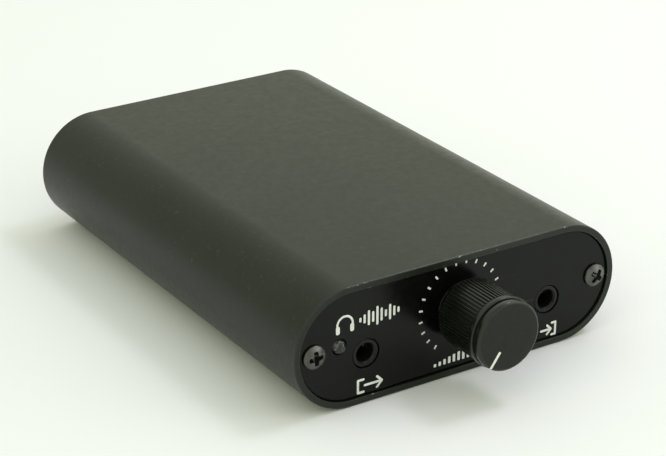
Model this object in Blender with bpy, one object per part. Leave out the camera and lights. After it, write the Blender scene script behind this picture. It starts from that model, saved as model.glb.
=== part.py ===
"""Pocket headphone amplifier: an extruded case, two end plates, a volume knob,
two sockets and the board, battery and switch that work inside it.

The front faces -Y, +Z is up, and the origin is the middle of the case's underside.
"""

import math

import bmesh
import bpy
from mathutils import Matrix, Vector
from mathutils.geometry import tessellate_polygon

MM = 0.001

# How close a piece sits to the one it rests on, and how much room a loose one has.
SEAT = 0.05 * MM
LOOSE = 0.2 * MM

# Case: one extrusion with round sides, milled back inside both ends for the plates.
CASE_WIDTH = 77.4 * MM
CASE_HEIGHT = 26.0 * MM
CASE_LENGTH = 110.0 * MM
CASE_WALL = 1.8 * MM
CASE_RIM = 1.4 * MM
CASE_CHAMFER = 0.2 * MM
CASE_ARC_STEPS = 28

# End plates, let into the rims.
PLATE_THICKNESS = 2.0 * MM
PLATE_RECESS = 0.5 * MM
PLATE_GAP = 0.15 * MM
PLATE_CHAMFER = 0.12 * MM

# Screws and the screw ports that run along the case's sides.
SCREW_INSET = 4.7 * MM
SCREW_THREAD_RADIUS = 1.5 * MM
SCREW_LENGTH = 8.0 * MM
SCREW_HEAD_RADIUS = 2.5 * MM
SCREW_HEAD_HEIGHT = 1.5 * MM
SCREW_HEAD_DOME = 0.5 * MM
SCREW_CROSS_WIDTH = 0.8 * MM
SCREW_CROSS_LENGTH = 3.0 * MM
SCREW_CROSS_DEPTH = 0.9 * MM
PORT_WALL = 1.1 * MM

# Circuit board, in slots along the case's sides.
BOARD_THICKNESS = 1.6 * MM
BOARD_TOP = 7.3 * MM
BOARD_SLOT_DEPTH = 1.6 * MM
BOARD_EDGE_GAP = 0.4 * MM
BOARD_END_GAP = 0.3 * MM
GUIDE_THICKNESS = 1.0 * MM

# Volume knob, potentiometer and its fixings.
KNOB_X = 0.2 * MM
KNOB_RISE = 7.5 * MM
KNOB_REACH = 15.6 * MM
KNOB_STAND_OFF = 2.15 * MM
KNOB_RIB_RADIUS = 7.3 * MM
KNOB_RIB_DEPTH = 0.32 * MM
KNOB_RIBS = 60
KNOB_COLLAR_RADIUS = 7.5 * MM
KNOB_COLLAR_LENGTH = 1.3 * MM
KNOB_GROOVE_RADIUS = 6.9 * MM
KNOB_GROOVE_LENGTH = 0.5 * MM
KNOB_FACE_RADIUS = 7.3 * MM
KNOB_FACE_LENGTH = 1.4 * MM
KNOB_FACE_ROUND = 0.4 * MM
KNOB_SKIN = 2.4 * MM
KNOB_TURN_START = math.radians(232.5)
POINTER_START = 3.5 * MM
POINTER_END = 6.85 * MM
POINTER_WIDTH = 0.6 * MM
POINTER_DEPTH = 0.3 * MM
GRUB_RADIUS = 1.25 * MM
GRUB_SET_BACK = 4.0 * MM
GRUB_ANGLE = math.radians(-40.0)
SHAFT_RADIUS = 3.0 * MM
SHAFT_RUNNING_GAP = 0.05 * MM
BUSHING_RADIUS = 3.5 * MM
BUSHING_REACH = 3.2 * MM
POT_WIDTH = 9.8 * MM
POT_HEIGHT = 12.3 * MM
POT_DEPTH = 9.0 * MM
WASHER_RADIUS = 5.4 * MM
WASHER_THICKNESS = 0.4 * MM
NUT_ACROSS_FLATS = 10.0 * MM
NUT_THICKNESS = 1.9 * MM

# 3.5 mm sockets and the lamp, on the front.
JACK_SPREAD = 44.0 * MM
JACK_RISE = 3.1 * MM
JACK_NOSE_RADIUS = 3.0 * MM
JACK_NOSE_SINK = 0.2 * MM
JACK_BORE_RADIUS = 1.8 * MM
JACK_BORE_CHAMFER = 0.3 * MM
JACK_WIDTH = 6.6 * MM
JACK_HEIGHT = 6.2 * MM
JACK_LENGTH = 13.0 * MM
JACK_REAR_WALL = 1.2 * MM
HOLE_GAP = 0.12 * MM
LAMP_X = -28.15 * MM
LAMP_Z = 13.5 * MM
LAMP_RADIUS = 1.5 * MM
LAMP_FLANGE_RADIUS = 1.9 * MM
LAMP_FLANGE_LENGTH = 1.0 * MM
LAMP_LENGTH = 5.3 * MM
LAMP_PROUD = 1.2 * MM
LAMP_BLOCK_WIDTH = 4.6 * MM
LAMP_BLOCK_LENGTH = 4.0 * MM
LAMP_BLOCK_CROWN = 2.3 * MM

# Nine-volt battery, its snap contacts and its foam pads.
BATTERY_WIDTH = 26.2 * MM
BATTERY_HEIGHT = 17.2 * MM
BATTERY_BODY_LENGTH = 46.0 * MM
BATTERY_CORNER = 2.0 * MM
SNAP_RISE = 4.9 * MM
BATTERY_REAR_GAP = 2.4 * MM
SNAP_SPACING = 12.7 * MM
SNAP_STUD_RADIUS = 2.9 * MM
SNAP_CUP_WALL = 1.1 * MM
SNAP_GAP = 0.2 * MM
SNAP_LENGTH = 2.6 * MM
CLIP_THICKNESS = 1.6 * MM
CLIP_HEIGHT = 12.0 * MM
BATTERY_BAY_GAP = 0.8 * MM
PAD_WIDTH = 20.0 * MM
PAD_LENGTH = 36.0 * MM

# Charging socket and power switch, on the back.
CHARGE_X = 24.0 * MM
CHARGE_RISE = 5.6 * MM
CHARGE_WIDTH = 9.0 * MM
CHARGE_HEIGHT = 11.0 * MM
CHARGE_LENGTH = 13.0 * MM
CHARGE_NOSE_RADIUS = 3.9 * MM
CHARGE_BORE_RADIUS = 3.15 * MM
CHARGE_BORE_DEPTH = 9.0 * MM
CHARGE_PIN_RADIUS = 1.0 * MM
CHARGE_PIN_ROOT = 2.0 * MM
SWITCH_X = -24.0 * MM
SWITCH_RISE = 3.2 * MM
SWITCH_WIDTH = 12.6 * MM
SWITCH_HEIGHT = 6.4 * MM
SWITCH_LENGTH = 6.5 * MM
SWITCH_LIP = 1.0 * MM
SWITCH_TRAVEL = 3.0 * MM
LEVER_WIDTH = 3.2 * MM
LEVER_HEIGHT = 2.6 * MM
LEVER_PROUD = 1.8 * MM
SHOE_WIDTH = 6.2 * MM
SHOE_HEIGHT = 4.0 * MM
SHOE_LENGTH = 3.4 * MM

# Parts on the board: places are across (X) and along (Y), from the origin.
CHIP_PLACE = (0.0, -25.0 * MM)
CHIP_LENGTH = 9.4 * MM
CHIP_WIDTH = 6.4 * MM
CHIP_HEIGHT = 3.3 * MM
CHIP_PIN_PITCH = 2.54 * MM
CHIP_SOCKET_LENGTH = 10.2 * MM
CHIP_SOCKET_WIDTH = 10.0 * MM
CHIP_SOCKET_HEIGHT = 3.0 * MM
CAN_RADIUS = 4.0 * MM
CAN_HEIGHT = 11.5 * MM
CAN_PLACES = {
    "reservoir_capacitor_left": (-11.0 * MM, -10.0 * MM),
    "reservoir_capacitor_right": (11.0 * MM, -10.0 * MM),
    "output_capacitor_left": (-25.5 * MM, -27.0 * MM),
    "output_capacitor_right": (-15.5 * MM, -27.0 * MM),
}
FILM_CAPACITOR_SIZE = (3.0 * MM, 7.2 * MM, 7.5 * MM)
FILM_CAPACITOR_PLACES = {
    "input_capacitor_left": (18.5 * MM, -33.0 * MM),
    "input_capacitor_right": (24.5 * MM, -33.0 * MM),
}
RESISTOR_BODY_RADIUS = 1.15 * MM
RESISTOR_BODY_LENGTH = 6.2 * MM
RESISTOR_SPAN = 10.2 * MM
RESISTOR_LEAD_RADIUS = 0.3 * MM
RESISTOR_PLACES = {
    "input_resistor_left": (21.5 * MM, -24.0 * MM),
    "input_resistor_right": (21.5 * MM, -20.5 * MM),
    "feedback_resistor_left": (0.0, -15.5 * MM),
    "feedback_resistor_right": (0.0, -34.0 * MM),
    "output_resistor_left": (-20.5 * MM, -20.0 * MM),
    "output_resistor_right": (-20.5 * MM, -16.5 * MM),
}
SPLITTER_PLACE = (-1.0 * MM, -9.0 * MM)
SPLITTER_RADIUS = 2.4 * MM
SPLITTER_HEIGHT = 4.7 * MM
SPLITTER_LEG_RADIUS = 0.25 * MM
SPLITTER_LEG_LENGTH = 2.0 * MM

# Places worked out from the sizes above.
FRONT_Y = -CASE_LENGTH / 2
MIDDLE_Z = CASE_HEIGHT / 2
POCKET_DEPTH = PLATE_RECESS + PLATE_THICKNESS + SEAT
PLATE_INNER_Y = CASE_LENGTH / 2 - PLATE_RECESS - PLATE_THICKNESS
PLATE_OUTER_Y = CASE_LENGTH / 2 - PLATE_RECESS
SCREW_X = CASE_WIDTH / 2 - SCREW_INSET
PORT_HOLE_RADIUS = SCREW_THREAD_RADIUS + SEAT
PORT_RADIUS = PORT_HOLE_RADIUS + PORT_WALL
BOARD_BASE = BOARD_TOP - BOARD_THICKNESS
ON_BOARD = BOARD_TOP + SEAT
KNOB_FRONT = -CASE_LENGTH / 2 - KNOB_REACH
KNOB_BACK = -CASE_LENGTH / 2 - KNOB_STAND_OFF
KNOB_Z = BOARD_TOP + KNOB_RISE
JACK_Z = BOARD_TOP + JACK_RISE
CHARGE_Z = BOARD_TOP + CHARGE_RISE
SWITCH_Z = BOARD_TOP + SWITCH_RISE
BATTERY_REAR = PLATE_INNER_Y - BATTERY_REAR_GAP
BATTERY_FRONT = BATTERY_REAR - BATTERY_BODY_LENGTH
CLIP_REAR = BATTERY_FRONT - SNAP_LENGTH - SNAP_GAP
SNAP_Z = BOARD_TOP + SNAP_RISE
BATTERY_BASE = SNAP_Z - BATTERY_HEIGHT / 2


# ---------------------------------------------------------------- outlines

def arc(centre, radius, start, end, steps):
    """Points on an arc, from start to end in degrees, both ends included."""
    points = []
    for i in range(steps + 1):
        angle = math.radians(start + (end - start) * i / steps)
        points.append((centre[0] + radius * math.cos(angle), centre[1] + radius * math.sin(angle)))
    return points


def circle(x, z, radius, steps=24):
    return arc((x, z), radius, 0, 360 * (steps - 1) / steps, steps - 1)


def rectangle(x, z, width, height):
    right, top = width / 2, height / 2
    return [(x - right, z - top), (x + right, z - top), (x + right, z + top), (x - right, z + top)]


def rounded_rectangle(x, z, width, height, radius, steps=4):
    right, top = width / 2 - radius, height / 2 - radius
    corners = [(right, -top, -90), (right, top, 0), (-right, top, 90), (-right, -top, 180)]
    points = []
    for dx, dz, start in corners:
        points += arc((x + dx, z + dz), radius, start, start + 90, steps)
    return points


def case_outline(inset):
    """The case's round-sided outline, moved in by inset."""
    radius = CASE_HEIGHT / 2 - inset
    centre = CASE_WIDTH / 2 - CASE_HEIGHT / 2
    right = arc((centre, MIDDLE_Z), radius, -90, 90, CASE_ARC_STEPS)
    left = arc((-centre, MIDDLE_Z), radius, 90, 270, CASE_ARC_STEPS)
    return right + left


def wall_x(z):
    """How far the case's inner wall is from the middle, at height z."""
    radius = CASE_HEIGHT / 2 - CASE_WALL
    return CASE_WIDTH / 2 - CASE_HEIGHT / 2 + math.sqrt(radius ** 2 - (z - MIDDLE_Z) ** 2)


def board_half_width():
    return wall_x(BOARD_BASE) - BOARD_EDGE_GAP


def guide_heights():
    """The bottom and top of the rib under the board's edge and of the one over it."""
    lower_top = BOARD_BASE - SEAT
    upper_base = BOARD_TOP + LOOSE
    return (lower_top - GUIDE_THICKNESS, lower_top), (upper_base, upper_base + GUIDE_THICKNESS)


def case_inner_outline():
    """The inside of the extrusion: plain wall, two board guides and a screw port a side."""
    radius = CASE_HEIGHT / 2 - CASE_WALL
    centre = (CASE_WIDTH / 2 - CASE_HEIGHT / 2, MIDDLE_Z)
    tip = board_half_width() - BOARD_SLOT_DEPTH

    def angle_at(z):
        return math.degrees(math.asin((z - MIDDLE_Z) / radius))

    def wall(start, end):
        steps = max(1, round(abs(end - start) / 180 * CASE_ARC_STEPS))
        return arc(centre, radius, start, end, steps)

    side = []
    angle = -90.0
    for low, high in guide_heights():
        side += wall(angle, angle_at(low)) + [(tip, low), (tip, high)]
        angle = angle_at(high)
    side += wall(angle, angle_at(MIDDLE_Z - PORT_RADIUS))
    side += arc((SCREW_X, MIDDLE_Z), PORT_RADIUS, 270, 90, 12)
    side += wall(angle_at(MIDDLE_Z + PORT_RADIUS), 90)
    return side + [(-x, z) for x, z in reversed(side)]


# ---------------------------------------------------------------- mesh making

class Shape:
    """Collects loops of points, the walls between them and the flat faces across them."""

    def __init__(self):
        self.mesh = bmesh.new()

    def loop(self, outline, depth):
        """Adds an outline's points at one depth along Y."""
        return [self.mesh.verts.new((x, depth, z)) for x, z in outline]

    def wall(self, first, second):
        count = len(first)
        for i in range(count):
            j = (i + 1) % count
            self.mesh.faces.new((first[i], first[j], second[j], second[i]))

    def face(self, outer, holes=()):
        loops = [outer, *holes]
        verts = [vert for loop in loops for vert in loop]
        for corners in tessellate_polygon([[vert.co for vert in loop] for loop in loops]):
            self.mesh.faces.new([verts[i] for i in corners])

    def tube(self, sections):
        """A run of walls through (outline, depth) sections; gives back its two end loops."""
        loops = [self.loop(outline, depth) for outline, depth in sections]
        for first, second in zip(loops, loops[1:]):
            self.wall(first, second)
        return loops[0], loops[-1]

    def blind_hole(self, outline, start, end):
        """A hole with a flat end; gives back the loop at its mouth."""
        mouth, floor = self.tube([(outline, start), (outline, end)])
        self.face(floor)
        return mouth

    def finish(self, name, material, location=(0, 0, 0), turn=None):
        bmesh.ops.recalc_face_normals(self.mesh, faces=self.mesh.faces)
        if turn is not None:
            bmesh.ops.transform(self.mesh, matrix=turn, verts=self.mesh.verts)
        data = bpy.data.meshes.new(name)
        self.mesh.to_mesh(data)
        self.mesh.free()
        data.materials.append(material)
        piece = bpy.data.objects.new(name, data)
        piece.location = location
        bpy.context.scene.collection.objects.link(piece)
        return piece


def prism(name, material, outline, start, end, holes=(), **place):
    """A straight bar of one outline along Y, with holes right through it."""
    shape = Shape()
    near, far = shape.tube([(outline, start), (outline, end)])
    bores = [shape.tube([(hole, start), (hole, end)]) for hole in holes]
    shape.face(near, [bore[0] for bore in bores])
    shape.face(far, [bore[1] for bore in bores])
    return shape.finish(name, material, **place)


def revolve(name, material, profile, steps=24, **place):
    """A closed solid turned around Y from (radius, depth) pairs; both end radii are above zero."""
    shape = Shape()
    near, far = shape.tube([(circle(0, 0, radius, steps), depth) for radius, depth in profile])
    shape.face(near)
    shape.face(far)
    return shape.finish(name, material, **place)


def box(name, material, centre, size, bevel=0.0):
    """A plain block; bevel rounds its edges."""
    shape = Shape()
    outline = rectangle(0, 0, size[0], size[2])
    near, far = shape.tube([(outline, -size[1] / 2), (outline, size[1] / 2)])
    shape.face(near)
    shape.face(far)
    piece = shape.finish(name, material, location=centre)
    if bevel:
        edge = piece.modifiers.new("edge_round", "BEVEL")
        edge.width = bevel
        edge.segments = 2
    return piece


def hide_tool(tool):
    tool.hide_render = True
    tool.display_type = "WIRE"


def combine(piece, tool, operation, label):
    """Cuts a tool out of a piece, or joins it on."""
    step = piece.modifiers.new(label, "BOOLEAN")
    step.operation = operation
    step.solver = "EXACT"
    step.object = tool
    hide_tool(tool)


# Turns an outline in X and Y, at a depth of minus its height, to stand along Z.
STAND_UP = Matrix.Rotation(math.radians(-90), 4, "X")


# ---------------------------------------------------------------- materials

def finish_material(name, colour, roughness, metallic=0.0, transmission=0.0):
    material = bpy.data.materials.new(name)
    material.use_nodes = True
    shader = material.node_tree.nodes["Principled BSDF"]
    shader.inputs["Base Color"].default_value = (*colour, 1.0)
    shader.inputs["Roughness"].default_value = roughness
    shader.inputs["Metallic"].default_value = metallic
    shader.inputs["Transmission Weight"].default_value = transmission
    material.diffuse_color = (*colour, 1.0)
    return material


def make_materials():
    return {
        "case_anodised": finish_material("case_anodised", (0.022, 0.024, 0.022), 0.34, 0.6),
        "plate_anodised": finish_material("plate_anodised", (0.012, 0.013, 0.012), 0.4, 0.5),
        "knob_anodised": finish_material("knob_anodised", (0.02, 0.021, 0.018), 0.32, 0.7),
        "white_fill": finish_material("white_fill", (0.86, 0.86, 0.84), 0.5),
        "black_screw": finish_material("black_screw", (0.03, 0.03, 0.03), 0.35, 0.8),
        "steel": finish_material("steel", (0.56, 0.56, 0.55), 0.28, 1.0),
        "nickel": finish_material("nickel", (0.66, 0.62, 0.55), 0.25, 1.0),
        "jack_plastic": finish_material("jack_plastic", (0.012, 0.012, 0.012), 0.42),
        "lamp_clear": finish_material("lamp_clear", (0.8, 0.82, 0.8), 0.12, 0.0, 0.7),
        "black_plastic": finish_material("black_plastic", (0.02, 0.02, 0.02), 0.5),
        "board_green": finish_material("board_green", (0.02, 0.12, 0.05), 0.4),
        "chip_plastic": finish_material("chip_plastic", (0.025, 0.025, 0.027), 0.5),
        "can_sleeve": finish_material("can_sleeve", (0.03, 0.04, 0.09), 0.35),
        "film_box": finish_material("film_box", (0.45, 0.04, 0.03), 0.4),
        "resistor_lacquer": finish_material("resistor_lacquer", (0.12, 0.3, 0.42), 0.4),
        "battery_wrap": finish_material("battery_wrap", (0.05, 0.05, 0.055), 0.35, 0.3),
        "foam": finish_material("foam", (0.05, 0.05, 0.05), 0.95),
    }


# ---------------------------------------------------------------- case and plates

def make_shell(material):
    """The extruded case, with a pocket milled into each end for its plate."""
    shape = Shape()
    end = CASE_LENGTH / 2
    shoulder = end - POCKET_DEPTH
    outer_ends = shape.tube([
        (case_outline(CASE_CHAMFER), -end),
        (case_outline(0), -end + CASE_CHAMFER),
        (case_outline(0), end - CASE_CHAMFER),
        (case_outline(CASE_CHAMFER), end),
    ])
    inner_ends = shape.tube([(case_inner_outline(), -shoulder), (case_inner_outline(), shoulder)])
    ports = []
    for x in (-SCREW_X, SCREW_X):
        hole = circle(x, MIDDLE_Z, PORT_HOLE_RADIUS, 16)
        ports.append(shape.tube([(hole, -shoulder), (hole, shoulder)]))
    for i, side in ((0, -1), (1, 1)):
        pocket = case_outline(CASE_RIM)
        mouth, floor = shape.tube([(pocket, side * end), (pocket, side * shoulder)])
        shape.face(outer_ends[i], [mouth])
        shape.face(floor, [inner_ends[i], ports[0][i], ports[1][i]])
    return shape.finish("shell", material)


def make_plate(name, material, side, holes):
    """An end plate with its outer edge eased; side is -1 for the front and 1 for the back."""
    shape = Shape()
    edge = CASE_RIM + PLATE_GAP
    outer = side * PLATE_OUTER_Y
    inner = side * PLATE_INNER_Y
    face_loop, back_loop = shape.tube([
        (case_outline(edge + PLATE_CHAMFER), outer),
        (case_outline(edge), outer - side * PLATE_CHAMFER),
        (case_outline(edge), inner),
    ])
    screw_hole = SCREW_THREAD_RADIUS + HOLE_GAP
    holes = holes + [circle(x, MIDDLE_Z, screw_hole, 20) for x in (-SCREW_X, SCREW_X)]
    bores = [shape.tube([(hole, outer), (hole, inner)]) for hole in holes]
    shape.face(face_loop, [bore[0] for bore in bores])
    shape.face(back_loop, [bore[1] for bore in bores])
    return shape.finish(name, material)


def make_front_plate(material):
    return make_plate("front_panel", material, -1, [
        circle(KNOB_X, KNOB_Z, BUSHING_RADIUS + HOLE_GAP),
        circle(-JACK_SPREAD / 2, JACK_Z, JACK_NOSE_RADIUS + HOLE_GAP),
        circle(JACK_SPREAD / 2, JACK_Z, JACK_NOSE_RADIUS + HOLE_GAP),
        circle(LAMP_X, LAMP_Z, LAMP_RADIUS + HOLE_GAP, 20),
    ])


def make_rear_plate(material):
    slot_width = LEVER_WIDTH + SWITCH_TRAVEL + 4 * LOOSE
    return make_plate("rear_panel", material, 1, [
        circle(CHARGE_X, CHARGE_Z, CHARGE_NOSE_RADIUS + HOLE_GAP),
        rectangle(SWITCH_X, SWITCH_Z, slot_width, LEVER_HEIGHT + 2 * LOOSE),
    ])


def make_screw(name, material, x, side):
    """A domed cross-head screw; side is -1 at the front and 1 at the back."""
    under_head = side * (PLATE_OUTER_Y + SEAT)

    def out(distance):
        return under_head + side * distance

    sections = [
        (SCREW_THREAD_RADIUS, out(-SCREW_LENGTH)),
        (SCREW_THREAD_RADIUS, out(0)),
        (SCREW_HEAD_RADIUS, out(0)),
        (SCREW_HEAD_RADIUS, out(SCREW_HEAD_HEIGHT - SCREW_HEAD_DOME)),
    ]
    for share in (0.97, 0.9, 0.8, 0.7):
        rise = SCREW_HEAD_DOME * math.sqrt(1 - share ** 2)
        sections.append((SCREW_HEAD_RADIUS * share, out(SCREW_HEAD_HEIGHT - SCREW_HEAD_DOME + rise)))
    width, length = SCREW_CROSS_WIDTH / 2, SCREW_CROSS_LENGTH / 2
    arm = [(width, length), (width, width), (length, width)]
    cross = []
    for _ in range(4):
        cross += arm
        arm = [(pz, -px) for px, pz in arm]
    shape = Shape()
    tip, crown = shape.tube([(circle(0, 0, radius), depth) for radius, depth in sections])
    shape.face(tip)
    top = sections[-1][1]
    shape.face(crown, [shape.blind_hole(cross, top, top - side * SCREW_CROSS_DEPTH)])
    return shape.finish(name, material, location=(x, 0, MIDDLE_Z))


# ---------------------------------------------------------------- knob and control

def knob_ring(radius, ribbed):
    """A ring of points, two to a rib; every other point drops in where it is ribbed."""
    points = []
    for i in range(2 * KNOB_RIBS):
        angle = math.pi * i / KNOB_RIBS
        reach = radius - KNOB_RIB_DEPTH if ribbed and i % 2 else radius
        points.append((reach * math.cos(angle), reach * math.sin(angle)))
    return points


def make_knob(material):
    """A turned knob: straight ribs, a plain collar, a groove and a round-edged face."""
    front = KNOB_FRONT
    groove_front = front + KNOB_FACE_LENGTH
    groove_back = groove_front + KNOB_GROOVE_LENGTH
    collar_back = groove_back + KNOB_COLLAR_LENGTH
    back = KNOB_BACK
    ease = KNOB_RIB_DEPTH
    sections = [
        (KNOB_RIB_RADIUS - 2 * ease, back, False),
        (KNOB_RIB_RADIUS, back - ease, True),
        (KNOB_RIB_RADIUS, collar_back, True),
        (KNOB_COLLAR_RADIUS, collar_back - ease / 3, False),
        (KNOB_COLLAR_RADIUS, groove_back + ease / 2, False),
        (KNOB_COLLAR_RADIUS - ease / 2, groove_back, False),
        (KNOB_GROOVE_RADIUS, groove_back, False),
        (KNOB_GROOVE_RADIUS, groove_front, False),
        (KNOB_FACE_RADIUS, groove_front, False),
    ]
    for angle in (0, 30, 60, 90):
        turn = math.radians(angle)
        radius = KNOB_FACE_RADIUS - KNOB_FACE_ROUND * (1 - math.cos(turn))
        sections.append((radius, front + KNOB_FACE_ROUND * (1 - math.sin(turn)), False))
    shape = Shape()
    back_loop, front_loop = shape.tube([(knob_ring(r, ribbed), y) for r, y, ribbed in sections])
    shape.face(front_loop)
    recess_radius = BUSHING_RADIUS + 3 * LOOSE
    recess_end = FRONT_Y + PLATE_RECESS - BUSHING_REACH - 2 * LOOSE
    mouth, floor = shape.tube([(circle(0, 0, recess_radius), back),
                               (circle(0, 0, recess_radius), recess_end)])
    bore = shape.blind_hole(circle(0, 0, SHAFT_RADIUS + SEAT), recess_end, front + KNOB_SKIN)
    shape.face(back_loop, [mouth])
    shape.face(floor, [bore])
    knob = shape.finish("volume_knob", material, location=(KNOB_X, 0, KNOB_Z))
    slot = pointer_bar("pointer_slot", material, SEAT)
    combine(knob, slot, "DIFFERENCE", "pointer_slot")
    hole = grub_bar("grub_hole", material, GRUB_RADIUS + SEAT, SHAFT_RADIUS / 2, KNOB_RIB_RADIUS + MM)
    combine(knob, hole, "DIFFERENCE", "grub_hole")
    return knob


def pointer_bar(name, material, room):
    """The pointer's bar in the knob's face, or with room around it the slot it fills."""
    middle = (POINTER_START + POINTER_END) / 2
    length = POINTER_END - POINTER_START + 2 * room
    outline = rectangle(middle, 0, length, POINTER_WIDTH + 2 * room)
    deep = KNOB_FRONT + POINTER_DEPTH + room
    out = KNOB_FRONT - (MM if room else 0)
    turn = Matrix.Rotation(-KNOB_TURN_START, 4, "Y")
    return prism(name, material, outline, deep, out, location=(KNOB_X, 0, KNOB_Z), turn=turn)


def grub_bar(name, material, radius, inner, outer):
    """A rod square to the knob's axis, between two distances from it."""
    turn = Matrix.Rotation(-GRUB_ANGLE, 4, "Y") @ Matrix.Rotation(math.radians(-90), 4, "Z")
    place = (KNOB_X, KNOB_BACK - GRUB_SET_BACK, KNOB_Z)
    return prism(name, material, circle(0, 0, radius, 16), inner, outer, location=place, turn=turn)


def make_grub_screw(material):
    """A set screw with a slot across its outer end."""
    inner = SHAFT_RADIUS + 2 * SEAT
    outer = KNOB_RIB_RADIUS - 3 * KNOB_RIB_DEPTH
    screw = grub_bar("knob_set_screw", material, GRUB_RADIUS, inner, outer)
    turn = Matrix.Rotation(-GRUB_ANGLE, 4, "Y") @ Matrix.Rotation(math.radians(-90), 4, "Z")
    place = (KNOB_X, KNOB_BACK - GRUB_SET_BACK, KNOB_Z)
    slot = prism("set_screw_slot", material, rectangle(0, 0, 4 * GRUB_RADIUS, GRUB_RADIUS / 2),
                 outer - GRUB_RADIUS / 2, outer + MM, location=place, turn=turn)
    combine(screw, slot, "DIFFERENCE", "driver_slot")
    return screw


def make_control(material, metal):
    """The potentiometer with its threaded neck, and the shaft that turns in it."""
    neck_front = -PLATE_OUTER_Y - BUSHING_REACH
    face = -PLATE_INNER_Y + SEAT
    shaft_back = face + POT_DEPTH / 2
    bored_block(
        "volume_control", material,
        rectangle(KNOB_X, ON_BOARD + POT_HEIGHT / 2, POT_WIDTH, POT_HEIGHT), face, face + POT_DEPTH,
        [(circle(KNOB_X, KNOB_Z, BUSHING_RADIUS), neck_front)],
        [(circle(KNOB_X, KNOB_Z, SHAFT_RADIUS + SHAFT_RUNNING_GAP), neck_front, shaft_back)],
    )
    tip = KNOB_FRONT + KNOB_SKIN + SEAT
    revolve("volume_shaft", metal,
            [(SHAFT_RADIUS, shaft_back - SEAT), (SHAFT_RADIUS, tip)], 24,
            location=(KNOB_X, 0, KNOB_Z))


def bored_block(name, material, outline, face, back, nose, bores):
    """A moulded block with a nose on its face and a stepped blind hole into it.

    nose holds (outline, front) pairs, or is empty; bores holds (outline, start, end)
    triples, each starting where the one before it ends.
    """
    shape = Shape()
    front_loop, back_loop = shape.tube([(outline, face), (outline, back)])
    shape.face(back_loop)
    mouth = bore_loops(shape, bores)
    if nose:
        nose_outline, nose_front = nose[0]
        root, tip = shape.tube([(nose_outline, face), (nose_outline, nose_front)])
        shape.face(front_loop, [root])
        shape.face(tip, [mouth])
    else:
        shape.face(front_loop, [mouth])
    return shape.finish(name, material)


def bore_loops(shape, bores):
    """The walls and steps of a stepped blind hole; gives back the loop at its mouth."""
    mouth = floor = None
    for outline, start, end in bores:
        near, far = shape.tube([(outline, start), (outline, end)])
        if mouth is None:
            mouth = near
        else:
            inner, outer = sorted((floor, near), key=loop_width)
            shape.face(outer, [inner])
        floor = far
    shape.face(floor)
    return mouth


def loop_width(loop):
    across = [vert.co.x for vert in loop]
    return max(across) - min(across)


def make_fixings(metal):
    """The washer and nut that hold the control to the front plate."""
    hole = circle(KNOB_X, KNOB_Z, BUSHING_RADIUS + SEAT)
    washer_back = -PLATE_OUTER_Y - SEAT
    washer_front = washer_back - WASHER_THICKNESS
    prism("control_washer", metal, circle(KNOB_X, KNOB_Z, WASHER_RADIUS), washer_front, washer_back,
          [hole])
    corner = NUT_ACROSS_FLATS / 2 / math.cos(math.radians(30))
    nut_back = washer_front - SEAT
    prism("control_nut", metal, circle(KNOB_X, KNOB_Z, corner, 6), nut_back - NUT_THICKNESS, nut_back,
          [hole])


# ---------------------------------------------------------------- front sockets and lamp

def make_jack(name, material, x):
    """A 3.5 mm socket: a block on the board and a round nose through the front plate."""
    face = -PLATE_INNER_Y + SEAT
    tip = -PLATE_OUTER_Y + JACK_NOSE_SINK
    end = face + JACK_LENGTH
    shape = Shape()
    block = rectangle(x, ON_BOARD + JACK_HEIGHT / 2, JACK_WIDTH, JACK_HEIGHT)
    block_loop, back_loop = shape.tube([(block, face), (block, end)])
    shape.face(back_loop)
    nose_root, nose_tip = shape.tube([(circle(x, JACK_Z, JACK_NOSE_RADIUS), face),
                                      (circle(x, JACK_Z, JACK_NOSE_RADIUS), tip)])
    mouth, floor = shape.tube([
        (circle(x, JACK_Z, JACK_BORE_RADIUS + JACK_BORE_CHAMFER), tip),
        (circle(x, JACK_Z, JACK_BORE_RADIUS), tip + JACK_BORE_CHAMFER),
        (circle(x, JACK_Z, JACK_BORE_RADIUS), end - JACK_REAR_WALL),
    ])
    shape.face(floor)
    shape.face(block_loop, [nose_root])
    shape.face(nose_tip, [mouth])
    return shape.finish(name, material)


def make_lamp(lens, block_material):
    """The status lamp and the block that holds it level with its hole."""
    straight_front = -PLATE_OUTER_Y - LAMP_PROUD + LAMP_RADIUS
    flange_back = straight_front + LAMP_LENGTH
    profile = [
        (LAMP_FLANGE_RADIUS, flange_back),
        (LAMP_FLANGE_RADIUS, flange_back - LAMP_FLANGE_LENGTH),
        (LAMP_RADIUS, flange_back - LAMP_FLANGE_LENGTH),
    ]
    for angle in (0, 22, 44, 66, 84):
        turn = math.radians(angle)
        profile.append((LAMP_RADIUS * math.cos(turn), straight_front - LAMP_RADIUS * math.sin(turn)))
    revolve("status_led", lens, profile, 20, location=(LAMP_X, 0, LAMP_Z))
    seat_back = flange_back + SEAT
    block_front = flange_back - LAMP_FLANGE_LENGTH
    crown = LAMP_Z + LAMP_BLOCK_CROWN
    bored_block(
        "led_holder", block_material,
        rectangle(LAMP_X, (ON_BOARD + crown) / 2, LAMP_BLOCK_WIDTH, crown - ON_BOARD),
        block_front, block_front + LAMP_BLOCK_LENGTH, [],
        [(circle(LAMP_X, LAMP_Z, LAMP_FLANGE_RADIUS + SEAT, 20), block_front, seat_back)],
    )


# ---------------------------------------------------------------- battery

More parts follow.
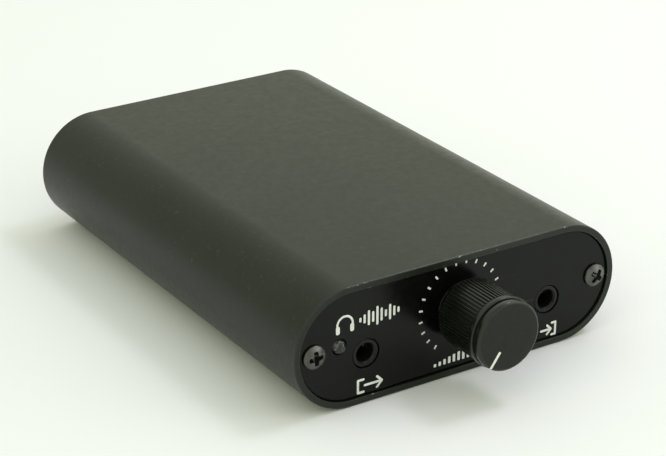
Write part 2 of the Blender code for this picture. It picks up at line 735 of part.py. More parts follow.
def make_battery(material):
    """The battery: a stud on the left and a cup on the right, facing the clip."""
    shape = Shape()
    body = rounded_rectangle(0, SNAP_Z, BATTERY_WIDTH, BATTERY_HEIGHT, BATTERY_CORNER)
    front, rear = shape.tube([(body, BATTERY_FRONT), (body, BATTERY_REAR)])
    shape.face(rear)
    tip = BATTERY_FRONT - SNAP_LENGTH
    holes = [snap_stud(shape, -SNAP_SPACING / 2, BATTERY_FRONT, tip),
             snap_cup(shape, SNAP_SPACING / 2, BATTERY_FRONT, tip)]
    shape.face(front, holes)
    return shape.finish("battery", material)


def snap_stud(shape, x, root, tip):
    outline = circle(x, SNAP_Z, SNAP_STUD_RADIUS, 20)
    foot, end = shape.tube([(outline, root), (outline, tip)])
    shape.face(end)
    return foot


def snap_cup(shape, x, root, tip):
    inner = SNAP_STUD_RADIUS + SNAP_GAP
    foot, lip = shape.tube([(circle(x, SNAP_Z, inner + SNAP_CUP_WALL, 20), root),
                            (circle(x, SNAP_Z, inner + SNAP_CUP_WALL, 20), tip)])
    floor = root + math.copysign(SNAP_GAP / 2, tip - root)
    shape.face(lip, [shape.blind_hole(circle(x, SNAP_Z, inner, 20), tip, floor)])
    return foot


def make_battery_clip(material):
    """The plate on the board whose cup and stud mate with the battery's."""
    shape = Shape()
    reach = CLIP_REAR + SNAP_LENGTH - SNAP_GAP
    plate = rectangle(0, ON_BOARD + CLIP_HEIGHT / 2, BATTERY_WIDTH, CLIP_HEIGHT)
    front, rear = shape.tube([(plate, CLIP_REAR - CLIP_THICKNESS), (plate, CLIP_REAR)])
    shape.face(front)
    cup = snap_cup(shape, -SNAP_SPACING / 2, CLIP_REAR, reach)
    stud = snap_stud(shape, SNAP_SPACING / 2, CLIP_REAR, reach - SNAP_GAP)
    shape.face(rear, [cup, stud])
    return shape.finish("battery_clip", material)


def make_pads(material):
    """Foam under and over the battery, which stops it rattling."""
    floor = CASE_WALL + SEAT
    ceiling = CASE_HEIGHT - CASE_WALL - SEAT
    battery_top = BATTERY_BASE + BATTERY_HEIGHT
    middle = (BATTERY_FRONT + BATTERY_REAR) / 2
    for name, low, high in (("lower_battery_pad", floor, BATTERY_BASE - SEAT),
                            ("upper_battery_pad", battery_top + SEAT, ceiling)):
        box(name, material, (0, middle, (low + high) / 2), (PAD_WIDTH, PAD_LENGTH, high - low))


# ---------------------------------------------------------------- rear socket and switch

def make_charge_socket(material, metal):
    """The charging socket on the back, with its centre pin."""
    face = PLATE_INNER_Y - SEAT
    tip = PLATE_OUTER_Y - JACK_NOSE_SINK
    floor = tip - CHARGE_BORE_DEPTH
    root = floor - CHARGE_PIN_ROOT
    bored_block(
        "charge_socket", material,
        rectangle(CHARGE_X, ON_BOARD + CHARGE_HEIGHT / 2, CHARGE_WIDTH, CHARGE_HEIGHT),
        face, face - CHARGE_LENGTH,
        [(circle(CHARGE_X, CHARGE_Z, CHARGE_NOSE_RADIUS), tip)],
        [(circle(CHARGE_X, CHARGE_Z, CHARGE_BORE_RADIUS), tip, floor),
         (circle(CHARGE_X, CHARGE_Z, CHARGE_PIN_RADIUS + SEAT, 16), floor, root)],
    )
    revolve("charge_socket_pin", metal,
            [(CHARGE_PIN_RADIUS, root + SEAT), (CHARGE_PIN_RADIUS, tip - 2 * LOOSE),
             (CHARGE_PIN_RADIUS / 2, tip - LOOSE)], 16,
            location=(CHARGE_X, 0, CHARGE_Z))


def make_switch(material, lever_material):
    """A slide switch: the block holds a shoe, and the shoe's stem comes out of the back."""
    face = PLATE_INNER_Y - SEAT
    lip = face - SWITCH_LIP
    floor = lip - SHOE_LENGTH - 2 * LOOSE
    bored_block(
        "power_switch", material,
        rectangle(SWITCH_X, ON_BOARD + SWITCH_HEIGHT / 2, SWITCH_WIDTH, SWITCH_HEIGHT),
        face, face - SWITCH_LENGTH, [],
        [(rectangle(SWITCH_X, SWITCH_Z, LEVER_WIDTH + SWITCH_TRAVEL + 2 * LOOSE,
                    LEVER_HEIGHT + LOOSE), face, lip),
         (rectangle(SWITCH_X, SWITCH_Z, SHOE_WIDTH + SWITCH_TRAVEL + 2 * LOOSE,
                    SHOE_HEIGHT + LOOSE), lip, floor)],
    )
    shape = Shape()
    shoe = rectangle(0, 0, SHOE_WIDTH, SHOE_HEIGHT)
    stem = rectangle(0, 0, LEVER_WIDTH, LEVER_HEIGHT)
    shoe_back, shoe_face = shape.tube([(shoe, floor + LOOSE), (shoe, lip - LOOSE)])
    stem_root, stem_tip = shape.tube([(stem, lip - LOOSE), (stem, PLATE_OUTER_Y + LEVER_PROUD)])
    shape.face(shoe_back)
    shape.face(shoe_face, [stem_root])
    shape.face(stem_tip)
    shape.finish("power_switch_lever", lever_material,
                 location=(SWITCH_X - SWITCH_TRAVEL / 2, 0, SWITCH_Z))


# ---------------------------------------------------------------- board and its parts

def make_board(material):
    """The board, cut away in the middle of its back half for the battery."""
    half = board_half_width()
    end = PLATE_INNER_Y - BOARD_END_GAP
    bay = BATTERY_WIDTH / 2 + BATTERY_BAY_GAP
    outline = [(-half, -end), (half, -end), (half, end), (bay, end), (bay, CLIP_REAR),
               (-bay, CLIP_REAR), (-bay, end), (-half, end)]
    return prism("main_board", material, outline, -BOARD_TOP, -BOARD_BASE, turn=STAND_UP)


def make_chip(plastic, socket_plastic):
    """The amplifier chip, its eight legs and the socket it plugs into."""
    x, y = CHIP_PLACE
    socket_top = ON_BOARD + CHIP_SOCKET_HEIGHT
    box("chip_socket", socket_plastic, (x, y, ON_BOARD + CHIP_SOCKET_HEIGHT / 2),
        (CHIP_SOCKET_WIDTH, CHIP_SOCKET_LENGTH, CHIP_SOCKET_HEIGHT))
    base = socket_top + 0.8 * MM
    middle = base + CHIP_HEIGHT / 2
    chip = box("amplifier_chip", plastic, (x, y, middle), (CHIP_WIDTH, CHIP_LENGTH, CHIP_HEIGHT))
    legs = Shape()
    leg_width = 1.2 * MM
    leg_thickness = 0.3 * MM
    for side in (-1, 1):
        out = CHIP_WIDTH / 2 + 2 * leg_thickness
        knee = middle - leg_thickness
        foot = socket_top + SEAT
        bracket = [(CHIP_WIDTH / 4, knee), (out, knee), (out, foot), (out - leg_thickness, foot),
                   (out - leg_thickness, knee - leg_thickness), (CHIP_WIDTH / 4, knee - leg_thickness)]
        bracket = [(side * px, pz) for px, pz in bracket]
        for i in range(4):
            centre = (i - 1.5) * CHIP_PIN_PITCH
            near, far = legs.tube([(bracket, centre - leg_width / 2), (bracket, centre + leg_width / 2)])
            legs.face(near)
            legs.face(far)
    tool = legs.finish("chip_legs", plastic, location=(x, y, 0))
    combine(chip, tool, "UNION", "legs")


def make_can(name, material, place):
    """An electrolytic capacitor: a sleeved can with a crimped waist near its foot."""
    x, y = place
    radius, height = CAN_RADIUS, CAN_HEIGHT
    profile = [
        (0.90 * radius, 0), (radius, 0.03 * height), (radius, 0.10 * height),
        (0.92 * radius, 0.14 * height), (radius, 0.18 * height), (radius, 0.96 * height),
        (0.92 * radius, height), (0.72 * radius, height - 0.2 * MM),
    ]
    upright = [(r, -h) for r, h in profile]
    revolve(name, material, upright, 24, location=(x, y, ON_BOARD),
            turn=STAND_UP)


def make_resistor(name, material, place):
    """An axial resistor: its wire leaves the board, runs through the body and comes back."""
    x, y = place
    lift = RESISTOR_BODY_RADIUS + LOOSE
    wire = RESISTOR_LEAD_RADIUS
    half = RESISTOR_SPAN / 2
    body = RESISTOR_BODY_LENGTH / 2
    bend = 2.5 * wire
    knee = bend * (1 - math.cos(math.radians(45)))
    # Stations along the right half: across, height, tilt in degrees, radius.
    right_side = [
        (half, 0.0, -90, wire),
        (half, lift - bend, -90, wire),
        (half - knee, lift - knee, -45, wire),
        (half - bend, lift, 0, wire),
        (body, lift, 0, wire),
        (body, lift, 0, 0.75 * RESISTOR_BODY_RADIUS),
        (0.93 * body, lift, 0, RESISTOR_BODY_RADIUS),
        (0.55 * body, lift, 0, RESISTOR_BODY_RADIUS),
        (0.4 * body, lift, 0, 0.85 * RESISTOR_BODY_RADIUS),
    ]
    left_side = [(-along, height, -tilt, r) for along, height, tilt, r in reversed(right_side)]
    shape = Shape()
    rings = []
    for along, height, tilt, radius in right_side + left_side:
        lean = math.radians(tilt + 90)
        across = Vector((math.cos(lean), 0, math.sin(lean)))
        ring = []
        for dx, dy in circle(0, 0, radius, 10):
            point = Vector((along, dy, height)) + dx * across
            ring.append(shape.mesh.verts.new(point))
        rings.append(ring)
    for first, second in zip(rings, rings[1:]):
        shape.wall(first, second)
    shape.face(rings[0])
    shape.face(rings[-1])
    return shape.finish(name, material, location=(x, y, ON_BOARD))


def make_splitter(material):
    """The small three-legged part that halves the battery's voltage for the chip."""
    x, y = SPLITTER_PLACE
    shape = Shape()
    base = ON_BOARD + SPLITTER_LEG_LENGTH
    outline = arc((0, 0), SPLITTER_RADIUS, -35, 215, 12)
    top, bottom = shape.tube([(outline, -base - SPLITTER_HEIGHT), (outline, -base)])
    shape.face(top)
    feet = []
    for i in (-1, 0, 1):
        leg = circle(i * CHIP_PIN_PITCH / 2, 0, SPLITTER_LEG_RADIUS, 8)
        root, foot = shape.tube([(leg, -base), (leg, -ON_BOARD)])
        shape.face(foot)
        feet.append(root)
    shape.face(bottom, feet)
    shape.finish("rail_splitter", material, location=(x, y, 0), turn=STAND_UP)


# ---------------------------------------------------------------- assembly

def clear_scene():
    for old in list(bpy.data.objects):
        bpy.data.objects.remove(old, do_unlink=True)


def build():
    clear_scene()
    paint = make_materials()
    make_shell(paint["case_anodised"])
    make_front_plate(paint["plate_anodised"])
    make_rear_plate(paint["plate_anodised"])
    for end, side in (("front", -1), ("rear", 1)):
        for hand, x in (("left", -SCREW_X), ("right", SCREW_X)):
            make_screw(f"{end}_screw_{hand}", paint["black_screw"], x, side)
    make_knob(paint["knob_anodised"])
    pointer_bar("knob_pointer", paint["white_fill"], 0)
    make_grub_screw(paint["steel"])
    make_control(paint["nickel"], paint["steel"])
    make_fixings(paint["nickel"])
    make_jack("output_jack", paint["jack_plastic"], -JACK_SPREAD / 2)
    make_jack("input_jack", paint["jack_plastic"], JACK_SPREAD / 2)
    make_lamp(paint["lamp_clear"], paint["black_plastic"])
    make_board(paint["board_green"])
    make_chip(paint["chip_plastic"], paint["black_plastic"])
    for name, place in CAN_PLACES.items():
        make_can(name, paint["can_sleeve"], place)
    for name, (x, y) in FILM_CAPACITOR_PLACES.items():
        box(name, paint["film_box"], (x, y, ON_BOARD + FILM_CAPACITOR_SIZE[2] / 2),
            FILM_CAPACITOR_SIZE, bevel=0.25 * MM)
    for name, place in RESISTOR_PLACES.items():
        make_resistor(name, paint["resistor_lacquer"], place)
    make_splitter(paint["chip_plastic"])
    make_battery(paint["battery_wrap"])
    make_battery_clip(paint["black_plastic"])
    make_pads(paint["foam"])
    make_charge_socket(paint["jack_plastic"], paint["nickel"])
    make_switch(paint["black_plastic"], paint["black_plastic"])


build()
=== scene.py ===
"""A pocket headphone amplifier: black anodised case, ribbed volume knob, two sockets and a lamp.

Sizes are in millimetres, and MM turns them into metres for meshes and node trees. The front faces
-Y and the case lies on Z = 0.
"""
import math

import bmesh
import bpy
from mathutils import Matrix, Vector
from mathutils.geometry import tessellate_polygon


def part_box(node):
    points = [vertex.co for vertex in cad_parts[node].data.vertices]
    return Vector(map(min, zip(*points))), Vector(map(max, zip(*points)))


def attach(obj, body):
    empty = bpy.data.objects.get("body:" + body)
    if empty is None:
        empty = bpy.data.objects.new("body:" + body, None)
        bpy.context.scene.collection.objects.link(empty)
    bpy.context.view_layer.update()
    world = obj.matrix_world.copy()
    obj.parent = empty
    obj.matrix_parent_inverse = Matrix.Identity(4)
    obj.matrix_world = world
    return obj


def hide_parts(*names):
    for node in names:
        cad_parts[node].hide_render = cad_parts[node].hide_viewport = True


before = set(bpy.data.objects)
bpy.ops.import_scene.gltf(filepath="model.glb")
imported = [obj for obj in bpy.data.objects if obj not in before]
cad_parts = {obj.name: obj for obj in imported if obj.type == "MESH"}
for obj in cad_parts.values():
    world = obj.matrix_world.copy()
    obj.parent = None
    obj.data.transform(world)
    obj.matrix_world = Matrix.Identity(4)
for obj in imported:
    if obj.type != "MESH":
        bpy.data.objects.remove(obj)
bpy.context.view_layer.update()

MM = 0.001


def box(node):
    """A CAD node's lowest and highest corners."""
    return [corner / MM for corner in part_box(node)]


def middle_of(node):
    low, high = box(node)
    return (low + high) / 2


# Case and plates
HALF_WIDTH, HALF_LENGTH, HEIGHT = box("shell")[1]
MIDDLE_Z = HEIGHT / 2
SIDE_X = HALF_WIDTH - HEIGHT / 2
WALL = 1.8
RIM = 1.4
CASE_EDGE = 0.2
POCKET = 2.55
PLATE_GAP = 0.15
PLATE_EDGE = 0.14
PLATE_BACK, PLATE_FACE = (corner.y for corner in box("rear_panel"))
HOLE_EASES = (0.0, 0.1, 0.3)
KNOB_HOLE = 3.62
JACK_HOLE = 3.12
LAMP_HOLE = 1.62
CHARGE_HOLE = 4.02
SWITCH_SLOT = (7.0, 3.0)
ARC_STEPS = 64

# Plate screws
SCREW_X = middle_of("front_screw_right").x
SCREW_HOLE = 1.62
SCREW_HEAD = 2.5
SCREW_THREAD = 1.5
SCREW_REACH = 8.0
SCREW_SEAT = PLATE_FACE + 0.05
SCREW_TOP = box("front_screw_right")[0].y + SCREW_SEAT + 0.08
DOME_RADIUS = 4.1
PORT_WALL = 1.1

# Board
BOARD_EDGE = box("main_board")[1].x
BOARD_BASE, BOARD_TOP = (corner.z for corner in box("main_board"))

# Knob and dial
KNOB_X, KNOB_Z = middle_of("volume_shaft").xz
KNOB_FRONT, KNOB_BACK = (corner.y for corner in box("volume_knob"))
NECK_HOLE = 3.56
RIB_COUNT = 60
RIB_RING = 6.99
RIB_WIDTH, RIB_HEIGHT, RIB_LENGTH = 0.51, 0.26, 9.7
TICK_COUNT = 20
TICK_SWEEP = math.radians(285)
TICK_RING = 9.55
TICK_LENGTH, TICK_WIDTH = 0.88, 0.4
POINTER_ANGLE = math.radians(232.5)
POINTER_SET = math.radians(2.0)

# Sockets, lamp and switch
JACK_X, JACK_Z = 22.0, 10.4
LAMP_X, LAMP_Z = -28.15, 13.5
CHARGE_X, CHARGE_Z = 24.0, 12.9
SWITCH_X, SWITCH_Z = -24.0, 10.5


# ---------------------------------------------------------------- outlines

def arc(x, z, radius, start, end, steps):
    """Points on an arc, from start to end in degrees, both ends included."""
    turns = [math.radians(start + (end - start) * i / steps) for i in range(steps + 1)]
    return [(x + radius * math.cos(a), z + radius * math.sin(a)) for a in turns]


def circle(x, z, radius, steps=64):
    return arc(x, z, radius, 0, 360 * (steps - 1) / steps, steps - 1)


def rectangle(x, z, width, height, corner=0.0, steps=4):
    right, top = width / 2, height / 2
    if not corner:
        return [(x - right, z - top), (x + right, z - top), (x + right, z + top), (x - right, z + top)]
    points = []
    for dx, dz, start in ((1, -1, -90), (1, 1, 0), (-1, 1, 90), (-1, -1, 180)):
        points += arc(x + dx * (right - corner), z + dz * (top - corner), corner, start, start + 90, steps)
    return points


def case_outline(inset):
    """The round-sided outline of the case, moved in by inset."""
    radius = HEIGHT / 2 - inset
    return (arc(SIDE_X, MIDDLE_Z, radius, -90, 90, ARC_STEPS)
            + arc(-SIDE_X, MIDDLE_Z, radius, 90, 270, ARC_STEPS))


def lean_at(points, i):
    """The direction of a line of points at one of them."""
    ahead, behind = points[min(i + 1, len(points) - 1)], points[max(i - 1, 0)]
    return math.atan2(ahead[1] - behind[1], ahead[0] - behind[0])


def stroke(points, width):
    """A line drawn with a round-ended pen: the outline of a band along the points."""
    half = width / 2
    leans = [lean_at(points, i) for i in range(len(points))]
    left, right = [[(x - side * math.sin(lean), z + side * math.cos(lean))
                    for (x, z), lean in zip(points, leans)] for side in (half, -half)]
    first, last = math.degrees(leans[0]), math.degrees(leans[-1])
    end_cap = arc(*points[-1], half, last - 90, last + 90, 6)[1:-1]
    start_cap = arc(*points[0], half, first + 90, first + 270, 6)[1:-1]
    return right + end_cap + left[::-1] + start_cap


# ---------------------------------------------------------------- mesh making

class Form:
    """Collects loops of points, the walls between them and the faces across them.

    Each loop lies square to Y. wear is 1 on loops where the finish rubs off and 0 elsewhere.
    """

    def __init__(self):
        self.mesh = bmesh.new()
        self.wear = self.mesh.verts.layers.float.new("edge")

    def point(self, place, wear=0.0):
        vert = self.mesh.verts.new([value * MM for value in place])
        vert[self.wear] = wear
        return vert

    def loop(self, outline, y, wear=0.0):
        return [self.point((x, y, z), wear) for x, z in outline]

    def face(self, corners, slot=0):
        self.mesh.faces.new(corners).material_index = slot

    def wall(self, first, second, slot=0):
        for i in range(len(first)):
            j = (i + 1) % len(first)
            self.face((first[i], first[j], second[j], second[i]), slot)

    def walls(self, loops, slot=0):
        for first, second in zip(loops, loops[1:]):
            self.wall(first, second, slot)

    def lid(self, outer, holes=(), slot=0):
        loops = [outer, *holes]
        verts = [vert for loop in loops for vert in loop]
        for corners in tessellate_polygon([[vert.co for vert in loop] for loop in loops]):
            self.face([verts[i] for i in corners], slot)

    def tube(self, sections, slot=0):
        """Walls through (outline, y, wear) sections; gives back the two end loops."""
        loops = [self.loop(*section) for section in sections]
        self.walls(loops, slot)
        return loops[0], loops[-1]

    def solid(self, sections, holes=(), slot=0):
        """A closed solid through sections, with holes right through it."""
        near, far = self.tube(sections, slot)
        bores = [self.tube([(hole, sections[0][1]), (hole, sections[-1][1])], slot) for hole in holes]
        self.lid(near, [bore[0] for bore in bores], slot)
        self.lid(far, [bore[1] for bore in bores], slot)

    def bar(self, outline, start, end, holes=(), slot=0):
        self.solid([(outline, start), (outline, end)], holes, slot)

    def eased_bar(self, full, small, start, end, ease):
        """A solid whose two ends are eased from the full outline to the small one."""
        self.solid([(small, start, 1), (full, start + ease, 1), (full, end - ease, 1), (small, end, 1)])

    def turned(self, x, z, profile, steps=64, slot=0, closed=True):
        """A form turned round an axis along Y, from (radius, y) or (radius, y, wear)."""
        ends = self.tube([(circle(x, z, row[0], steps), *row[1:]) for row in profile], slot)
        if closed:
            for end in ends:
                self.face(end, slot)
        return ends

    def data(self, name, sharp=28, turn=None):
        """Closes the work: joins doubles, turns faces outwards and marks the hard edges."""
        if turn is not None:
            bmesh.ops.transform(self.mesh, matrix=turn, verts=self.mesh.verts)
        data = bpy.data.meshes.new(name)
        close_mesh(self.mesh, data, sharp)
        return data

    def piece(self, name, *materials, sharp=28, turn=None):
        return add_object(name, self.data(name, sharp, turn), *materials)


def close_mesh(mesh, data, sharp):
    """Smooth shading, with edges turned by more than sharp degrees left hard."""
    bmesh.ops.remove_doubles(mesh, verts=mesh.verts, dist=1e-7)
    bmesh.ops.recalc_face_normals(mesh, faces=mesh.faces)
    for face in mesh.faces:
        face.smooth = True
    for edge in mesh.edges:
        edge.smooth = edge.calc_face_angle(math.pi) < math.radians(sharp)
    mesh.to_mesh(data)
    mesh.free()


def add_object(name, data, *materials):
    for material in materials:
        data.materials.append(material)
    piece = bpy.data.objects.new(name, data)
    bpy.context.scene.collection.objects.link(piece)
    return piece


def stand_up(x, y, z):
    """Turns a form made round the Y axis, front towards -Y, so that its front faces up."""
    return Matrix.Translation(Vector((x, y, z)) * MM) @ Matrix.Rotation(math.radians(-90), 4, "X")


def fit(piece, body, slot_name, *nodes):
    """The piece rides on a body and stands for CAD nodes, which it hides. slot_name is not used."""
    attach(piece, body)
    if nodes:
        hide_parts(*nodes)


# ---------------------------------------------------------------- node trees

def rgb(red, green, blue):
    return (red, green, blue, 1.0)


def pick_input(node, key):
    """An enabled input by its name in words."""
    name = key.replace("_", " ").lower()
    return next(socket for socket in node.inputs if socket.enabled and socket.name.lower() == name)


def is_colour(value):
    return isinstance(value, tuple) or getattr(value, "type", "") == "RGBA"


class Nodes:
    """A node tree in the making. Inputs are values or sockets, by the input's name in words."""

    def __init__(self, tree):
        self.tree = tree

    def feed(self, socket, value):
        if isinstance(value, bpy.types.NodeSocket):
            self.tree.links.new(value, socket)
        else:
            socket.default_value = value

    def add(self, kind, settings=None, **inputs):
        node = self.tree.nodes.new(kind)
        for key, value in (settings or {}).items():
            setattr(node, key, value)
        for key, value in inputs.items():
            self.feed(pick_input(node, key), value)
        return node.outputs

    def get(self, kind, settings=None, **inputs):
        """A new node's first output."""
        return next(socket for socket in self.add(kind, settings, **inputs) if socket.enabled)

    def maths(self, operation, *values):
        node = self.tree.nodes.new("ShaderNodeMath")
        node.operation = operation
        for socket, value in zip(node.inputs, values):
            self.feed(socket, value)
        return node.outputs[0]

    def times(self, first, second):
        return self.maths("MULTIPLY", first, second)

    def blend(self, share, first, second):
        """Colours or values blended by share."""
        kind = "RGBA" if is_colour(second) else "FLOAT"
        return self.get("ShaderNodeMix", {"data_type": kind}, Factor=share, A=first, B=second)

    def step(self, value, low, high, to_low=0.0, to_high=1.0):
        """A smooth step of value from low to high."""
        return self.get("ShaderNodeMapRange", {"interpolation_type": "SMOOTHSTEP"}, Value=value,
                        From_Min=low, From_Max=high, To_Min=to_low, To_Max=to_high)

    def noise(self, place, scale, **inputs):
        return self.get("ShaderNodeTexNoise", Vector=place, Scale=scale, **inputs)

    def mapped(self, place, **inputs):
        return self.get("ShaderNodeMapping", Vector=place, **inputs)

    def attribute(self, name):
        return self.add("ShaderNodeAttribute", {"attribute_name": name})["Fac"]

    def along(self, axis, vector):
        return self.add("ShaderNodeSeparateXYZ", Vector=vector)[axis]

    def position(self, axis):
        return self.along(axis, self.get("GeometryNodeInputPosition"))

    def facing_up(self):
        return self.along("Z", self.add("ShaderNodeNewGeometry")["Normal"])

    def vector(self, **axes):
        return self.get("ShaderNodeCombineXYZ", **axes)

    def outline(self, mode, corner, steps, **inputs):
        """A four-sided outline with rounded corners."""
        shape = self.get("GeometryNodeCurvePrimitiveQuadrilateral", {"mode": mode}, **inputs)
        return self.get("GeometryNodeFilletCurve", {"mode": "POLY"}, Curve=shape, Count=steps,
                        Radius=corner)

    def straight(self, length):
        return self.get("GeometryNodeCurvePrimitiveLine", Start=(0.0, 0.0, 0.0),
                        End=self.vector(Z=length))

    def set_on(self, points, piece, turn):
        return self.get("GeometryNodeInstanceOnPoints", Points=points, Instance=piece, Rotation=turn)

    def real(self, geometry):
        return self.get("GeometryNodeRealizeInstances", Geometry=geometry)

    def finished(self, geometry, given, out):
        """Ends a maker's tree: the mesh takes its finish and goes out."""
        painted = self.get("GeometryNodeSetMaterial", Geometry=geometry, Material=given["Finish"])
        self.feed(out["Geometry"], painted)
        return self.tree


STAND_UP = (math.radians(90), 0.0, 0.0)


def add_sockets(tree, in_out, sockets):
    """Named sockets: a number gives a Float or an Int that starts with it, a word gives the type."""
    for label, value in sockets.items():
        kind = value if isinstance(value, str) else type(value).__name__.capitalize()
        made = tree.interface.new_socket(name=label.replace("_", " "), in_out=in_out,
                                         socket_type="NodeSocket" + kind)
        if kind != value:
            made.default_value = value


def new_group(name, kind, inputs, outputs):
    """An empty node group, its input sockets and its output sockets."""
    tree = bpy.data.node_groups.new(name, kind)
    add_sockets(tree, "INPUT", inputs)
    add_sockets(tree, "OUTPUT", outputs)
    return Nodes(tree), tree.nodes.new("NodeGroupInput").outputs, tree.nodes.new("NodeGroupOutput").inputs


def new_effect(name, outputs, **inputs):
    """A group that several finishes use."""
    return new_group(name, "ShaderNodeTree", {"Vector": "Vector", **inputs},
                     dict.fromkeys(outputs, "Float"))


def new_maker(name, **inputs):
    """A geometry tree that starts from a mesh and ends with a finish."""
    return new_group(name, "GeometryNodeTree", {"Geometry": "Geometry", **inputs, "Finish": "Material"},
                     {"Geometry": "Geometry"})


def grow(name, tree, start, sharp=28, **values):
    """Runs a geometry tree on a starting mesh and gives back the plain mesh that it makes."""
    seed = bpy.data.objects.new(name + "_seed", start)
    bpy.context.scene.collection.objects.link(seed)
    step = seed.modifiers.new("grow", "NODES")
    step.node_group = tree
    sockets = {item.name: item.identifier for item in tree.interface.items_tree
               if item.in_out == "INPUT"}
    for label, value in values.items():
        step[sockets[label.replace("_", " ")]] = value
    bpy.context.view_layer.update()
    data = bpy.data.meshes.new_from_object(seed.evaluated_get(bpy.context.evaluated_depsgraph_get()))
    data.name = name
    seed.modifiers.clear()
    bpy.data.objects.remove(seed)
    mesh = bmesh.new()
    mesh.from_mesh(data)
    close_mesh(mesh, data, sharp)
    return add_object(name, data)


# ---------------------------------------------------------------- shared effects

def make_grain_group():
    """Fine grain, broad mottle and soft cloudiness of a finish."""
    nodes, given, out = new_effect("finish_grain", ("Grain", "Mottle", "Cloud"), Grain_Scale=9000.0,
                                   Mottle_Scale=600.0, Cloud_Scale=45.0)
    for label, detail in (("Grain", 2.0), ("Mottle", 4.0), ("Cloud", 2.0)):
        noise = nodes.noise(given["Vector"], given[label + " Scale"], Detail=detail, Roughness=0.6)
        nodes.feed(out[label], noise)
    return nodes.tree


def make_wear_group():
    """Where the finish has rubbed off: along edges, broken up into short patches."""
    nodes, given, out = new_effect("edge_wear", ("Mask", "Edge"), Patch_Scale=500.0, Amount=0.5)
    edge = nodes.attribute("edge")
    nodes.feed(out["Edge"], edge)
    patches = nodes.noise(given["Vector"], given["Patch Scale"], Detail=6.0, Roughness=0.7)
    reach = nodes.maths("ADD", given["Amount"], nodes.times(edge, 0.9))
    worn = nodes.step(nodes.maths("SUBTRACT", reach, nodes.times(patches, 1.6)), 0.0, 0.25)
    nodes.feed(out["Mask"], nodes.times(worn, nodes.step(edge, 0.2, 0.8)))
    return nodes.tree


def make_marks_group():
    """Marks from handling: fine scratches in two directions and small pale specks."""
    nodes, given, out = new_effect("handling_marks", ("Scratches", "Specks"), Scratch_Amount=0.3,
                                   Speck_Amount=0.3)
    place = given["Vector"]
    scratches = []
    for lean, shift in ((25, 0.0), (-50, 3.0)):
        turned = nodes.mapped(place, Location=(shift, shift, shift), Rotation=(0.3, math.radians(lean), 0.5),
                              Scale=(22.0, 1400.0, 1400.0))
        scratches.append(nodes.step(nodes.noise(turned, 1.0, Detail=1.0), 0.72, 0.8))
    lines = nodes.times(nodes.maths("MAXIMUM", *scratches), nodes.step(nodes.noise(place, 60.0), 0.45, 0.7))
    nodes.feed(out["Scratches"], nodes.times(lines, given["Scratch Amount"]))
    cells = nodes.add("ShaderNodeTexVoronoi", Vector=place, Scale=230.0, Randomness=1.0)
    few = nodes.step(nodes.get("ShaderNodeSeparateColor", Color=cells["Color"]), 0.9, 0.92)
    dots = nodes.times(nodes.step(cells["Distance"], 0.05, 0.02), few)
    nodes.feed(out["Specks"], nodes.times(dots, given["Speck Amount"]))
    return nodes.tree


def make_dust_group():
    """Settled dust, thickest on faces that look up."""
    nodes, given, out = new_effect("settled_dust", ("Mask",), Amount=0.1)
    lying = nodes.step(nodes.facing_up(), 0.1, 0.9, 0.15, 1.0)
    lint = nodes.noise(given["Vector"], 900.0, Detail=5.0, Roughness=0.75)
    dust = nodes.times(nodes.times(nodes.step(lint, 0.56, 0.74), lying), given["Amount"])
    nodes.feed(out["Mask"], dust)
    return nodes.tree


GRAIN = make_grain_group()
WEAR = make_wear_group()
MARKS = make_marks_group()
DUST = make_dust_group()


# ---------------------------------------------------------------- finishes

class Paint(Nodes):
    """A finish in the making: its grain, and the colour laid down so far."""

    def __init__(self, name, *scales):
        self.material = bpy.data.materials.new(name)
        self.material.use_nodes = True
        super().__init__(self.material.node_tree)
        self.place = self.add("ShaderNodeTexCoord")["Object"]
        if scales:
            labels = ("Grain", "Mottle", "Cloud")
            outputs = self.use(GRAIN, **{label + "_Scale": value for label, value in zip(labels, scales)})
            self.grain, self.mottle, self.cloud = (outputs[label] for label in labels)

    def use(self, group, **inputs):
        """A shared effect with this finish's own values."""
        return self.add("ShaderNodeGroup", {"node_tree": group}, Vector=self.place, **inputs)

    def base(self, share, dark, light):
        self.colour = self.blend(share, rgb(*dark), rgb(*light))

    def over(self, share, colour):
        """A colour laid over the last one where share is 1."""
        self.colour = self.blend(share, self.colour, rgb(*colour))

    def done(self, height, depth, strength, **shader_inputs):
        """Sets the shader and a bump from height, depth millimetres deep."""
        shader = self.tree.nodes["Principled BSDF"]
        bump = self.get("ShaderNodeBump", Height=height, Distance=depth * MM, Strength=strength)
        for key, value in {"Base_Color": self.colour, "Normal": bump, **shader_inputs}.items():
            self.feed(pick_input(shader, key), value)
        return self.material


